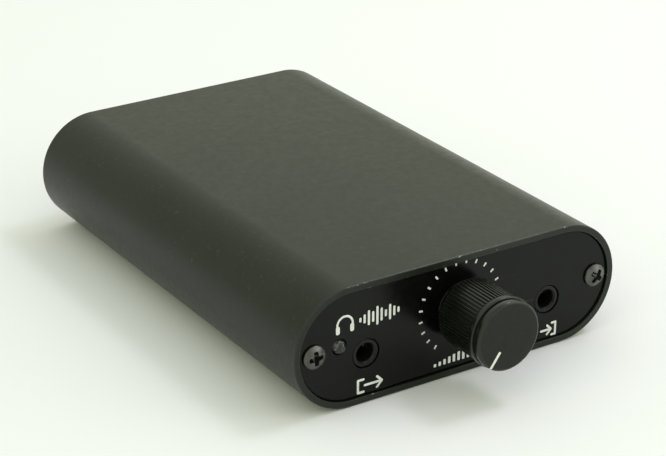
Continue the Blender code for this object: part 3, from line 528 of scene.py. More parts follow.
def anodised(name, dark, light, rough, sheen_level, wear, scratch, speck, drawn=0.0, polish=0.0):
    """Dyed aluminium: near black, finely grained, bare metal showing where an edge is rubbed.

    drawn is the share of fine lines along the case, polish the gloss that hands give the edges.
    """
    coat = Paint(name, 9000.0, 600.0, 45.0)
    rubbed = coat.use(WEAR, Amount=wear)
    worn = rubbed["Mask"]
    marks = coat.use(MARKS, Scratch_Amount=scratch, Speck_Amount=speck)
    tone, height = coat.blend(0.45, coat.cloud, coat.mottle), coat.grain
    if drawn:
        lines = coat.noise(coat.mapped(coat.place, Scale=(5200.0, 9.0, 5200.0)), 1.0, Detail=2.0)
        height = coat.blend(drawn, height, lines)
        tone = coat.blend(drawn * 0.6, tone, lines)
    coat.base(coat.step(tone, 0.3, 0.7), dark, light)
    coat.over(coat.maths("MAXIMUM", marks["Scratches"], marks["Specks"]), (0.5, 0.5, 0.47))
    coat.over(coat.use(DUST, Amount=0.06)["Mask"], (0.42, 0.42, 0.38))
    coat.over(worn, (0.62, 0.62, 0.6))
    roughness = coat.blend(worn, coat.step(coat.mottle, 0.25, 0.75, rough - 0.03, rough + 0.05), 0.3)
    height = coat.maths("SUBTRACT", height, coat.times(marks["Scratches"], 0.6))
    return coat.done(height, 0.004, 0.5, Roughness=roughness, Metallic=worn,
                     Specular_IOR_Level=sheen_level, Coat_Weight=coat.times(rubbed["Edge"], polish),
                     Coat_Roughness=0.16)


def metal(name, colour, dull, rough, wear=0.0, lathe=True):
    """Plated or bare metal with faint brushing and a little tarnish."""
    coat = Paint(name, 14000.0, 1500.0, 260.0)
    stretch = (900.0, 16000.0, 900.0) if lathe else (15000.0, 700.0, 15000.0)
    lines = coat.noise(coat.mapped(coat.place, Scale=stretch), 1.0)
    coat.base(coat.step(coat.cloud, 0.35, 0.7), colour, dull)
    coat.over(coat.use(WEAR, Patch_Scale=900.0, Amount=wear)["Mask"], (0.6, 0.6, 0.58))
    roughness = coat.step(coat.blend(0.5, lines, coat.mottle), 0.3, 0.7, rough - 0.06, rough + 0.1)
    return coat.done(coat.blend(0.5, lines, coat.grain), 0.003, 0.5, Roughness=roughness, Metallic=1.0)


def moulded(name, dark, light, rough, bump=0.012, level=0.5, dust=0.05, grain_scale=6000.0):
    """Moulded plastic or lacquer: a faint spark-eroded texture and uneven gloss."""
    coat = Paint(name, grain_scale, 900.0, 120.0)
    coat.base(coat.step(coat.cloud, 0.3, 0.7), dark, light)
    coat.over(coat.times(coat.use(WEAR, Amount=-0.1)["Mask"], 0.35), (0.3, 0.3, 0.28))
    coat.over(coat.use(DUST, Amount=dust)["Mask"], (0.4, 0.4, 0.37))
    roughness = coat.step(coat.mottle, 0.25, 0.75, rough - 0.06, rough + 0.08)
    return coat.done(coat.grain, bump, 0.6, Roughness=roughness, Specular_IOR_Level=level)


def printed_ink():
    """White screen-printed ink: slightly uneven cover, tiny pinholes, matt."""
    coat = Paint("white_ink", 12000.0, 2600.0, 300.0)
    coat.base(coat.step(coat.cloud, 0.3, 0.7), (0.80, 0.80, 0.77), (0.68, 0.68, 0.64))
    coat.over(coat.times(coat.step(coat.mottle, 0.33, 0.27), 0.7), (0.12, 0.12, 0.11))
    return coat.done(coat.mottle, 0.01, 0.6, Roughness=0.55, Specular_IOR_Level=0.35)


def clear_lens():
    """Clear epoxy of a lamp that is off, with faint haze and swirl, tinted dark grey as painted shade for the
    dark hole behind it.
    """
    coat = Paint("clear_lens", 4000.0, 700.0, 200.0)
    # The dark grey base colour is painted shade: it dims the lens the way the dark hole behind it does.
    coat.base(coat.cloud, (0.17, 0.18, 0.17), (0.11, 0.12, 0.11))
    roughness = coat.step(coat.mottle, 0.3, 0.7, 0.04, 0.12)
    return coat.done(coat.mottle, 0.01, 0.3, Roughness=roughness, Metallic=0.0,
                     Transmission_Weight=0.92, IOR=1.5)


def circuit_board():
    """Green solder mask over copper tracks, with tinned pads on a tenth-inch grid."""
    coat = Paint("solder_mask", 9000.0, 1100.0, 90.0)
    holes_per_metre = 393.7
    flat = coat.mapped(coat.place, Scale=(holes_per_metre, holes_per_metre, 0.0))
    cells = coat.get("ShaderNodeTexVoronoi", {"distance": "CHEBYCHEV"}, Vector=flat, Scale=0.42,
                     Randomness=0.85)
    runs = coat.add("ShaderNodeTexWave", {"bands_direction": "DIAGONAL"}, Vector=flat, Scale=0.35,
                    Distortion=2.4, Detail=1.0)["Fac"]
    copper = coat.maths("MAXIMUM", coat.step(runs, 0.62, 0.66), coat.step(cells, 0.55, 0.57))
    grid = coat.add("ShaderNodeTexVoronoi", Vector=flat, Scale=1.0, Randomness=0.0)
    chance = coat.get("ShaderNodeTexWhiteNoise", Vector=grid["Position"])
    pad = coat.times(coat.step(grid["Distance"], 0.3, 0.27), coat.step(chance, 0.86, 0.87))
    flat_face = coat.step(coat.maths("ABSOLUTE", coat.facing_up()), 0.8, 0.95)
    pad = coat.times(pad, flat_face)
    mask = coat.blend(copper, rgb(0.008, 0.06, 0.025), rgb(0.02, 0.13, 0.05))
    core = coat.blend(coat.mottle, rgb(0.35, 0.33, 0.16), rgb(0.24, 0.24, 0.1))
    coat.colour = coat.blend(flat_face, core, mask)
    coat.over(pad, (0.72, 0.72, 0.7))
    roughness = coat.blend(pad, coat.step(coat.mottle, 0.3, 0.7, 0.28, 0.42), 0.3)
    return coat.done(coat.maths("ADD", copper, pad), 0.03, 0.8, Roughness=roughness, Metallic=pad)


def foam_pad():
    """Open-cell foam: dark, with ragged cells whose pits are painted darker as shade."""
    coat = Paint("foam_cells", 9000.0, 1600.0, 130.0)
    cells = coat.get("ShaderNodeTexVoronoi", {"feature": "SMOOTH_F1"}, Vector=coat.place, Scale=2300.0)
    pit_depth_and_shade = coat.step(cells, 0.15, 0.5)
    # The pits of the cells are painted darker, as painted shade in the hollows; the same mask sets the bump.
    coat.base(pit_depth_and_shade, (0.012, 0.012, 0.012), (0.07, 0.07, 0.068))
    coat.over(coat.times(coat.cloud, 0.3), (0.1, 0.1, 0.1))
    return coat.done(pit_depth_and_shade, 0.12, 1.0, Roughness=0.95, Specular_IOR_Level=0.2)


def capacitor_sleeve():
    """Shrunk sleeve of a can, with the pale dashed stripe down its negative side."""
    coat = Paint("can_sleeve_finish", 9000.0, 1400.0, 160.0)
    stripe = coat.attribute("stripe")
    dashes = coat.add("ShaderNodeTexWave", {"bands_direction": "Z"}, Vector=coat.place, Scale=110.0)["Fac"]
    coat.base(coat.cloud, (0.012, 0.02, 0.075), (0.02, 0.03, 0.1))
    coat.over(coat.step(stripe, 0.45, 0.5), (0.5, 0.53, 0.58))
    coat.over(coat.times(coat.step(stripe, 0.8, 0.85), coat.step(dashes, 0.6, 0.64)), (0.03, 0.04, 0.1))
    return coat.done(coat.mottle, 0.03, 0.5, Roughness=coat.step(coat.mottle, 0.25, 0.75, 0.24, 0.4))


def banded_lacquer():
    """Blue resistor lacquer with colour rings along its length, and its bare wires."""
    coat = Paint("resistor_bands", 9000.0, 1600.0, 300.0)
    ring = coat.attribute("ring")
    coat.base(coat.cloud, (0.08, 0.23, 0.36), (0.12, 0.3, 0.42))
    brown, black, red = (0.3, 0.12, 0.02), (0.01, 0.01, 0.01), (0.35, 0.03, 0.02)
    for centre, paint in ((0.14, brown), (0.32, black), (0.5, black), (0.66, red), (0.86, brown)):
        away = coat.maths("ABSOLUTE", coat.maths("SUBTRACT", ring, centre))
        coat.over(coat.step(away, 0.045, 0.035), paint)
    wire = coat.step(ring, -0.3, -0.5)
    coat.over(wire, (0.66, 0.65, 0.62))
    roughness = coat.blend(wire, coat.step(coat.mottle, 0.25, 0.75, 0.25, 0.4), 0.3)
    return coat.done(coat.mottle, 0.02, 0.6, Roughness=roughness, Metallic=wire)


def battery_wrap():
    """Printed metal jacket of the battery: dark body, pale band at the snap end, crimp shine."""
    coat = Paint("battery_jacket", 9000.0, 800.0, 60.0)
    along = coat.along("Y", coat.place)
    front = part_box("battery")[0].y
    band = coat.times(coat.step(along, front + 14 * MM, front + 14.1 * MM, 1.0, 0.0),
                      coat.step(along, front + 3.4 * MM, front + 3.5 * MM))
    from_seam = coat.maths("ABSOLUTE", coat.maths("SUBTRACT", along, front + 15 * MM))
    seam = coat.step(from_seam, 0.35 * MM, 0.3 * MM)
    coat.base(coat.cloud, (0.02, 0.022, 0.026), (0.035, 0.037, 0.042))
    coat.over(band, (0.55, 0.42, 0.16))
    coat.over(seam, (0.75, 0.75, 0.73))
    return coat.done(coat.mottle, 0.02, 0.4, Roughness=coat.step(coat.mottle, 0.25, 0.75, 0.26, 0.42),
                     Metallic=coat.maths("MAXIMUM", coat.times(band, 0.8), seam))


def pale_floor():
    """Seamless paper, with very faint fibre and tone."""
    coat = Paint("seamless_paper")
    fibre = coat.noise(coat.place, 350.0, Detail=4.0)
    broad = coat.noise(coat.place, 3.0, Detail=1.0)
    coat.base(coat.blend(0.8, fibre, broad), (0.86, 0.875, 0.84), (0.88, 0.895, 0.86))
    return coat.done(fibre, 0.02, 0.2, Roughness=0.9, Specular_IOR_Level=0.1)


FINISH = {
    "case": anodised("case_finish", (0.0052, 0.0064, 0.0033), (0.0098, 0.012, 0.0064), 0.36, 0.29,
                     wear=-0.24, polish=0.35, scratch=0.14, speck=0.25, drawn=0.22),
    "plate": anodised("plate_finish", (0.0016, 0.0018, 0.0013), (0.0036, 0.004, 0.003), 0.22, 0.19,
                      wear=-0.5, scratch=0.1, speck=0.3),
    "knob": anodised("knob_finish", (0.0036, 0.0042, 0.0024), (0.0085, 0.0095, 0.006), 0.3, 0.24,
                     wear=-0.35, polish=0.4, scratch=0.08, speck=0.06),
    "ink": printed_ink(),
    "screw": metal("blackened_screw", (0.14, 0.14, 0.13), (0.09, 0.09, 0.083), 0.36, wear=-0.1),
    # Near-black metal for the washer and nut behind the knob: painted shade for the gap there.
    "shade_black": metal("black_oxide", (0.02, 0.02, 0.019), (0.035, 0.034, 0.03), 0.42, wear=-0.35),
    "steel": metal("turned_steel", (0.55, 0.55, 0.54), (0.42, 0.42, 0.4), 0.28),
    "nickel": metal("nickel_plate", (0.66, 0.63, 0.57), (0.5, 0.48, 0.42), 0.24),
    "aluminium": metal("can_aluminium", (0.72, 0.72, 0.72), (0.6, 0.6, 0.6), 0.3, lathe=False),
    "jack": moulded("jack_plastic", (0.004, 0.004, 0.004), (0.008, 0.008, 0.0075), 0.33, level=0.24,
                    dust=0.02),
    "black": moulded("black_plastic", (0.01, 0.01, 0.01), (0.018, 0.018, 0.017), 0.5),
    "chip": moulded("chip_epoxy", (0.014, 0.014, 0.015), (0.024, 0.024, 0.025), 0.58, 0.02,
                    grain_scale=9000.0),
    "film": moulded("film_box_epoxy", (0.33, 0.02, 0.015), (0.42, 0.035, 0.025), 0.32, 0.006),
    "lens": clear_lens(),
    "board": circuit_board(),
    "sleeve": capacitor_sleeve(),
    "bands": banded_lacquer(),
    "battery": battery_wrap(),
    "foam": foam_pad(),
}


# ---------------------------------------------------------------- case

def make_sweep_tree():
    """A section carried round the case's outline: its points are (inset, depth) in X and Y."""
    nodes, given, out = new_maker("case_sweep", Width=0.08, Height=0.03, Steps=130)
    half = nodes.times(given["Height"], 0.5)
    ring = nodes.get("GeometryNodeCurvePrimitiveCircle", Resolution=given["Steps"], Radius=half)
    reach = nodes.times(nodes.maths("SUBTRACT", given["Width"], given["Height"]), 0.5)
    shift = nodes.times(nodes.maths("SIGN", nodes.position("X")), reach)
    path = nodes.get("GeometryNodeSetPosition", Geometry=ring, Offset=nodes.vector(X=shift))
    path = nodes.get("GeometryNodeSetCurveNormal", {"mode": "Z_UP"}, Curve=path)
    section = nodes.get("GeometryNodeMeshToCurve", Mesh=given["Geometry"])
    swept = nodes.get("GeometryNodeCurveToMesh", Curve=path, Profile_Curve=section)
    stood = nodes.get("GeometryNodeTransform", Geometry=swept, Translation=nodes.vector(Z=half),
                      Rotation=STAND_UP)
    return nodes.finished(nodes.real(stood), given, out)


def case_section():
    """The wall from its outside round the front rim, pocket and bore to the back rim.

    Rows are (inset, depth, wear). A plain row just inside each edge keeps the shading flat.
    """
    end, floor, ease = HALF_LENGTH, HALF_LENGTH - POCKET, 0.08
    half = [(0.0, end - 1.2, 0), (0.0, end - 0.45, 0)]
    half += rounded(CASE_EDGE, end - CASE_EDGE, CASE_EDGE, 180, 90, 5)
    half += [(CASE_EDGE + 0.12, end, 0.2), (RIM - 0.2, end, 0.2), (RIM - ease, end, 1),
             (RIM, end - ease, 1), (RIM, end - 0.3, 0), (RIM, floor, 0), (WALL, floor, 0),
             (WALL, floor - 0.3, 0)]
    return half + [(inset, -depth, wear) for inset, depth, wear in reversed(half)]


def rounded(radius, y, size, start, end, steps):
    """Worn rows round a small edge: centre (radius, y), from start to end in degrees."""
    return [(r, d, 1) for r, d in arc(radius, y, size, start, end, steps)]


def section_mesh():
    """The case's section as a closed line of edges."""
    form = Form()
    verts = [form.point((-inset, depth, 0.0), wear) for inset, depth, wear in case_section()]
    for first, second in zip(verts, verts[1:] + verts[:1]):
        form.mesh.edges.new((first, second))
    data = bpy.data.meshes.new("case_section")
    form.mesh.to_mesh(data)
    form.mesh.free()
    return data


def add_inside_of_case(case):
    """The board guides and screw ports that run along the inside of the extrusion."""
    form = Form()
    end = HALF_LENGTH - POCKET - 0.01
    tip = BOARD_EDGE - 1.6
    for side in (-1, 1):
        port = circle(side * SCREW_X, MIDDLE_Z, SCREW_HOLE + PORT_WALL, 40)
        form.bar(port, -end, end, [circle(side * SCREW_X, MIDDLE_Z, SCREW_HOLE, 40)])
        for z in (BOARD_BASE - 0.55, BOARD_TOP + 0.7):
            root = SIDE_X + math.sqrt((HEIGHT / 2 - WALL) ** 2 - (z - MIDDLE_Z) ** 2) + 0.8
            form.bar(rectangle(side * (tip + root) / 2, z, root - tip, 1.0, 0.2, 2), -end, end)
    mesh = bmesh.new()
    mesh.from_mesh(case.data)
    mesh.from_mesh(form.data("case_inside"))
    mesh.to_mesh(case.data)
    mesh.free()


def make_case():
    case = grow("case", make_sweep_tree(), section_mesh(), Width=2 * HALF_WIDTH * MM,
                Height=HEIGHT * MM, Steps=2 * ARC_STEPS + 2, Finish=FINISH["case"])
    add_inside_of_case(case)
    fit(case, "amplifier", "case_anodised", "shell")


# ---------------------------------------------------------------- end plates

def round_hole(x, z, radius):
    """The outlines of a hole, of its eased mouth and of the plain ring round it."""
    return [circle(x, z, radius + ease) for ease in HOLE_EASES]


def plate_hole(form, outlines, side):
    """Cuts a hole through a plate; gives back its outermost loop on the face and on the back."""
    outline, mouth_outline, plain = outlines
    face, back = side * PLATE_FACE, side * PLATE_BACK
    ring = form.loop(plain, face)
    mouth, bottom = form.tube([(mouth_outline, face, 1), (outline, face - side * HOLE_EASES[1], 1),
                               (outline, back)])
    form.wall(ring, mouth)
    return ring, bottom


def make_plate(name, node, side, holes):
    """An end plate with an eased outer edge; side is -1 at the front and 1 at the back."""
    form = Form()
    edge, face = RIM + PLATE_GAP, side * PLATE_FACE
    bores = [plate_hole(form, outlines, side) for outlines in holes]
    plain = form.loop(case_outline(edge + PLATE_EDGE + 0.25), face)
    eased = [(case_outline(edge + inset * PLATE_EDGE), face - side * drop * PLATE_EDGE, 1)
             for inset, drop in ((1, 0), (0.3, 0.3), (0, 1))]
    rim, rear = form.tube([*eased, (case_outline(edge), side * PLATE_BACK)])
    form.wall(plain, rim)
    form.lid(plain, [bore[0] for bore in bores])
    form.lid(rear, [bore[1] for bore in bores])
    fit(form.piece(name, FINISH["plate"], sharp=24), "amplifier", "plate_anodised", node)


def make_plates():
    screws = [round_hole(side * SCREW_X, MIDDLE_Z, SCREW_HOLE) for side in (-1, 1)]
    front = [round_hole(KNOB_X, KNOB_Z, KNOB_HOLE), round_hole(-JACK_X, JACK_Z, JACK_HOLE),
             round_hole(JACK_X, JACK_Z, JACK_HOLE), round_hole(LAMP_X, LAMP_Z, LAMP_HOLE)]
    charge = round_hole(CHARGE_X, CHARGE_Z, CHARGE_HOLE)
    width, height = SWITCH_SLOT
    slot = [rectangle(SWITCH_X, SWITCH_Z, width + 2 * ease, height + 2 * ease, 0.4 + ease)
            for ease in HOLE_EASES]
    make_plate("front_plate", "front_panel", -1, screws + front)
    make_plate("rear_plate", "rear_panel", 1, screws + [charge, slot])


# ---------------------------------------------------------------- plate screws

def cross_outline(width, length, ease, spread=50):
    """A cross-head recess: four arms with round ends, seen from the front."""
    end = [(x * width / ease / math.sin(math.radians(spread)), z)
           for x, z in arc(0.0, -length + ease, ease, -90 - spread, -90 + spread, 3)]
    points = []
    for quarter in range(4):
        lean = math.radians(90 * quarter)
        points += [(x * math.cos(lean) - z * math.sin(lean), x * math.sin(lean) + z * math.cos(lean))
                   for x, z in [*end, (width, -width)]]
    return points


def crown_y(radius):
    """Where the domed crown lies at a distance from the screw's axis."""
    return SCREW_TOP + DOME_RADIUS - math.sqrt(DOME_RADIUS ** 2 - radius ** 2)


def screw_profile():
    """From the domed crown over the head and along the thread to the tip."""
    head, thread = SCREW_HEAD, SCREW_THREAD
    rows = [(head * share, crown_y(head * share), 0.25) for share in (0.82, 0.85, 0.88, 0.91, 0.94)]
    rim = rows[-1][1]
    rows += [(head * 0.975, rim + 0.1, 0.8), (head, rim + 0.24, 0.6), (head, -0.08, 0),
             (head - 0.08, 0.0, 0), (thread * 1.04, 0.0, 0)]
    for turn in range(14):
        y = 0.2 + 0.5 * turn
        rows += [(thread * 0.99, y, 0.3), (thread * 0.84, y + 0.25, 0)]
    return rows + [(thread * 0.8, SCREW_REACH - 0.5, 0), (thread * 0.5, SCREW_REACH, 0)]


def screw_mesh():
    """One plate screw at the origin, head towards -Y: domed crown, tapered cross, thread."""
    form = Form()
    profile = screw_profile()
    rim, tip = form.turned(0, 0, profile, 48, closed=False)
    form.face(tip)
    cross = cross_outline(0.46, 1.55, 0.36)

    def on_crown(sizes, deep, wear=0.0):
        """The cross on the crown, each of its points moved out or in by its size."""
        return [form.point((x * size, crown_y(size * math.hypot(x, z)) + deep, z * size), wear)
                for (x, z), size in zip(cross, sizes)]

    reach = [profile[0][0] / math.hypot(x, z) for x, z in cross]
    loops = [on_crown([1 + share * (size - 1) for size in reach], 0.0, wear)
             for share, wear in ((0.66, 0.2), (0.33, 0.2), (0.06, 0.4))]
    form.lid(rim, [loops[0]])
    loops += [on_crown([size] * len(cross), deep) for size, deep in ((1.0, 0.1), (0.97, 0.6), (0.8, 1.3))]
    loops.append([form.point((x * 0.2, SCREW_TOP + 1.8, z * 0.2)) for x, z in cross])
    form.walls(loops)
    form.face(loops[-1])
    return form.data("screw_pattern")


def make_screw_tree():
    """One screw set at the four plate holes, heads outwards, each turned by its own amount."""
    nodes, given, out = new_maker("plate_screw_set", Spread=0.068, Depth=0.109, Height=0.013, Roll=1.57,
                                  Seed=4)
    grid = nodes.get("GeometryNodeMeshGrid", Size_X=given["Spread"], Size_Y=given["Depth"], Vertices_X=2,
                     Vertices_Y=2)
    behind = nodes.maths("GREATER_THAN", nodes.position("Y"), 0.0)
    roll = nodes.get("FunctionNodeRandomValue", {"data_type": "FLOAT"}, Min=0.0, Max=1.0, Seed=given["Seed"])
    lean = nodes.vector(Y=nodes.times(roll, given["Roll"]), Z=nodes.times(behind, math.pi))
    placed = nodes.set_on(grid, given["Geometry"], lean)
    lifted = nodes.get("GeometryNodeTransform", Geometry=placed, Translation=nodes.vector(Z=given["Height"]))
    return nodes.finished(nodes.real(lifted), given, out)


def make_plate_screws():
    screws = grow("plate_screws", make_screw_tree(), screw_mesh(), sharp=32, Spread=2 * SCREW_X * MM,
                  Depth=2 * SCREW_SEAT * MM, Height=MIDDLE_Z * MM, Roll=math.radians(90), Seed=45,
                  Finish=FINISH["screw"])
    fit(screws, "amplifier", "black_screw", "front_screw_left", "front_screw_right",
        "rear_screw_left", "rear_screw_right")


# ---------------------------------------------------------------- knob

def knob_profile():
    """From the bottom of the shaft hole, out over the back and along the side to the face."""
    front, back = KNOB_FRONT, KNOB_BACK
    body, collar, rim = 6.98, 7.5, 7.3
    collar_back, groove_back, groove_front, face = front + 3.2, front + 1.9, front + 1.4, front + 0.02
    rows = [(3.05, front + 2.4, 0), (3.05, back - 0.95, 0), (4.1, back - 0.95, 0), (4.1, back, 0),
            (6.6, back, 0)]
    rows += rounded(body - 0.2, back - 0.2, 0.2, 90, 0, 3)
    rows += [(body, back - 0.6, 0), (body, collar_back + 0.2, 0), (body, collar_back, 0)]
    rows += rounded(collar - 0.3, collar_back - 0.3, 0.3, 90, 0, 5)
    rows += rounded(collar - 0.3, groove_back + 0.3, 0.3, 0, -90, 5)
    rows += [(6.95, groove_back, 0), (6.9, groove_back - 0.05, 0), (6.9, groove_front + 0.05, 0),
             (6.95, groove_front, 0)]
    rows += rounded(rim - 0.15, groove_front - 0.15, 0.15, 90, 0, 3)
    rows += rounded(rim - 0.45, face + 0.45, 0.45, 0, -90, 9)
    return rows + [(6.75, face, 0.1), (5.0, face, 0), (0.5, face, 0)]


def make_rib_tree():
    """Straight ribs set round a turned body, each with a rounded back and tapered ends."""
    nodes, given, out = new_maker("knob_ribs", Count=60, Radius=0.007, Rib_Width=0.0005, Rib_Height=0.0004,
                                  Start=-0.06, Length=0.01, Centre="Vector", Handling=1.0)
    line = nodes.get("GeometryNodeResampleCurve", Curve=nodes.straight(given["Length"]), Count=12)
    share = nodes.get("GeometryNodeSplineParameter")
    from_end = nodes.maths("SUBTRACT", 0.5, nodes.maths("ABSOLUTE", nodes.maths("SUBTRACT", share, 0.5)))
    taper = nodes.step(from_end, 0.0, 0.09, 0.35, 1.0)
    line = nodes.get("GeometryNodeSetCurveRadius", Curve=line, Radius=taper)
    width = given["Rib Width"]
    back = nodes.outline("TRAPEZOID", nodes.times(width, 0.2), 2, Bottom_Width=width,
                         Top_Width=nodes.times(width, 0.55),
                         Height=nodes.times(given["Rib Height"], 2.0), Offset=0.0)
    rib = nodes.get("GeometryNodeCurveToMesh", Curve=line, Profile_Curve=back, Fill_Caps=True)
    rib = nodes.get("GeometryNodeStoreNamedAttribute", {"data_type": "FLOAT"}, Geometry=rib, Name="edge",
                    Value=given["Handling"])
    ring = nodes.get("GeometryNodeMeshCircle", Vertices=given["Count"], Radius=given["Radius"])
    share = nodes.maths("DIVIDE", nodes.times(nodes.get("GeometryNodeInputIndex"), 2 * math.pi),
                        given["Count"])
    turn = nodes.maths("SUBTRACT", share, math.pi / 2)
    ribs = nodes.real(nodes.set_on(ring, rib, nodes.vector(Z=turn)))
    stood = nodes.get("GeometryNodeTransform", Geometry=ribs, Rotation=STAND_UP, Translation=given["Centre"])
    slid = nodes.get("GeometryNodeTransform", Geometry=stood, Translation=nodes.vector(Y=given["Start"]))
    both = nodes.tree.nodes.new("GeometryNodeJoinGeometry")
    for geometry in (slid, given["Geometry"]):
        nodes.feed(both.inputs[0], geometry)
    return nodes.finished(both.outputs[0], given, out)


def make_knob():
    form = Form()
    form.turned(KNOB_X, KNOB_Z, knob_profile(), 180)
    knob = grow("knob", make_rib_tree(), form.data("knob_body"), sharp=32, Count=RIB_COUNT,
                Radius=RIB_RING * MM, Rib_Width=RIB_WIDTH * MM, Rib_Height=RIB_HEIGHT * MM,
                Start=(KNOB_BACK - 0.3) * MM, Length=RIB_LENGTH * MM,
                Centre=(KNOB_X * MM, 0.0, KNOB_Z * MM), Handling=1.0, Finish=FINISH["knob"])
    fit(knob, "knob", "knob_anodised", "volume_knob")


def make_pointer():
    """The white line let into the knob's face, carried over its rounded edge.

    The knob sits a little past the first tick, as knobs pushed on by hand do.
    """
    form = Form()
    path = [(3.4, KNOB_FRONT), *arc(6.88, KNOB_FRONT + 0.42, 0.42, -90, 0, 8), (7.3, KNOB_FRONT + 0.9)]
    half, proud, depth = 0.29, 0.012, 0.15
    section = ((-half, 0.0), (-half * 0.8, proud), (half * 0.8, proud), (half, 0.0), (half, -depth),
               (-half, -depth))
    rows = []
    for i, (r, y) in enumerate(path):
        lean = lean_at(path, i)
        rows.append([form.point((r + math.sin(lean) * lift, y - math.cos(lean) * (lift - proud), across))
                     for across, lift in section])
    form.walls(rows)
    form.face(rows[0])
    form.face(rows[-1])
    turn = (Matrix.Translation(Vector((KNOB_X, 0, KNOB_Z)) * MM)
            @ Matrix.Rotation(-POINTER_ANGLE - POINTER_SET, 4, "Y"))
    fit(form.piece("pointer_line", FINISH["ink"], turn=turn), "knob", "white_fill", "knob_pointer")


# ---------------------------------------------------------------- markings

def make_tick_tree():
    """Round-cornered ticks spread evenly along an arc on the front plate."""
    nodes, given, out = new_maker("dial_ticks", Count=20, Radius=0.0095, Start_Angle=4.0, Sweep=5.0,
                                  Tick_Length=0.0009, Tick_Width=0.0005, Ink_Depth=0.00003, Centre="Vector")
    dial = nodes.get("GeometryNodeCurveArc", {"mode": "RADIUS"}, Resolution=200, Radius=given["Radius"],
                     Start_Angle=given["Start Angle"], Sweep_Angle=nodes.times(given["Sweep"], -1.0))
    spots = nodes.get("GeometryNodeResampleCurve", Curve=dial, Count=given["Count"])
    width = given["Tick Width"]
    shape = nodes.outline("RECTANGLE", nodes.times(width, 0.22), 3, Width=given["Tick Length"], Height=width)
    tick = nodes.get("GeometryNodeCurveToMesh", Curve=nodes.straight(given["Ink Depth"]), Profile_Curve=shape,
                     Fill_Caps=True)
    lean = nodes.maths("ARCTAN2", nodes.position("Y"), nodes.position("X"))
    laid = nodes.real(nodes.set_on(spots, tick, nodes.vector(Z=lean)))
    stood = nodes.get("GeometryNodeTransform", Geometry=laid, Rotation=STAND_UP, Translation=given["Centre"])
    return nodes.finished(stood, given, out)


def make_dial():
    ticks = grow("dial_ticks", make_tick_tree(), bpy.data.meshes.new("blank"), Count=TICK_COUNT,
                 Radius=TICK_RING * MM, Start_Angle=POINTER_ANGLE, Sweep=TICK_SWEEP,
                 Tick_Length=TICK_LENGTH * MM, Tick_Width=TICK_WIDTH * MM, Ink_Depth=0.04 * MM,
                 Finish=FINISH["ink"],
                 Centre=(KNOB_X * MM, (0.02 - PLATE_FACE) * MM, KNOB_Z * MM))
    fit(ticks, "amplifier", "white_fill")


def headphone_sign(x, z, size):
    """A headband with two ear pads, about two sizes tall."""
    pads = [rectangle(x + side * 0.93 * size, z - 0.55 * size, 0.5 * size, size, 0.22 * size)
            for side in (-1, 1)]
    return [stroke(arc(x, z, size, 200, -20, 22), 0.26 * size), *pads]


def upright_bars(x, z, pitch, width, corner, heights, standing):
    """A row of bars on a centre line, or standing on a base line."""
    return [rectangle(x + i * pitch, z + standing * tall / 2, width, tall, width * corner)
            for i, tall in enumerate(heights)]


def arrow(x, z, length, head, pen=0.5):
    """A plain arrow that points right: a shaft and an open head."""
    tip = x + length
    return [stroke([(x, z), (tip - pen * 0.5, z)], pen), stroke([(tip - head, z + head), (tip, z)], pen),
            stroke([(tip - head, z - head), (tip, z)], pen)]


def bracket(x, z, width, height, opens, pen=0.5):
    """A square bracket; opens is 1 when its open side is on the right."""
    top, bottom = z + height / 2, z - height / 2
    upper, lower = [[(x + opens * width, level), (x + opens * 0.15, level)] for level in (top, bottom)]
    return [stroke(upper, pen), stroke([(x, top), (x, bottom)], pen), stroke(lower, pen)]


def ink_piece(name, outlines, side):
    """Prints outlines on a plate; overlapping strokes lie at slightly different heights."""
    form = Form()
    for i, outline in enumerate(outlines):
        lift = 0.02 + 0.002 * (i % 4)
        form.bar(outline, side * (PLATE_FACE + lift), side * (PLATE_FACE - 0.02))
    fit(form.piece(name, FINISH["ink"]), "amplifier", "white_fill")


def make_front_signs():
    """Headphones and a sound wave, arrows out and in by the sockets, a wedge under the knob."""
    wave = (1.0, 1.9, 3.2, 2.3, 4.0, 2.8, 1.5, 3.3, 2.1, 1.2)
    wedge = [0.7 + 0.26 * i for i in range(11)]
    ink_piece("headphone_sign",
              headphone_sign(-26.9, 18.0, 1.75) + upright_bars(-23.4, 18.0, 0.98, 0.5, 0.45, wave, 0), -1)
    ink_piece("output_sign", bracket(-23.9, 3.55, 1.3, 2.7, 1) + arrow(-22.3, 3.55, 4.0, 1.15), -1)
    ink_piece("input_sign", arrow(20.9, 3.4, 2.5, 1.0) + bracket(24.5, 3.4, 0.9, 2.7, -1), -1)
    ink_piece("volume_wedge", upright_bars(-5.6, 2.7, 1.15, 0.6, 0.3, wedge, 1), -1)


def make_rear_signs():
    """Plain marks on the back: a plug by the charging socket, off and on by the switch."""
    plug = [stroke(arc(CHARGE_X, CHARGE_Z, 5.4, 205, 335, 20), 0.4)]
    plug += [rectangle(CHARGE_X + dx, CHARGE_Z + 7.1, 0.45, 1.5, 0.15) for dx in (-0.6, 0.6)]
    plug.append(rectangle(CHARGE_X, CHARGE_Z + 5.7, 2.4, 1.4, 0.4))
    ink_piece("charge_sign", plug, 1)
    off = stroke(arc(SWITCH_X - 2.2, SWITCH_Z + 3.6, 0.75, 0, 350, 28), 0.35)
    on = rectangle(SWITCH_X + 2.2, SWITCH_Z + 3.6, 0.4, 1.8, 0.15)
    ink_piece("switch_sign", [off, on], 1)


# ---------------------------------------------------------------- sockets and lamp

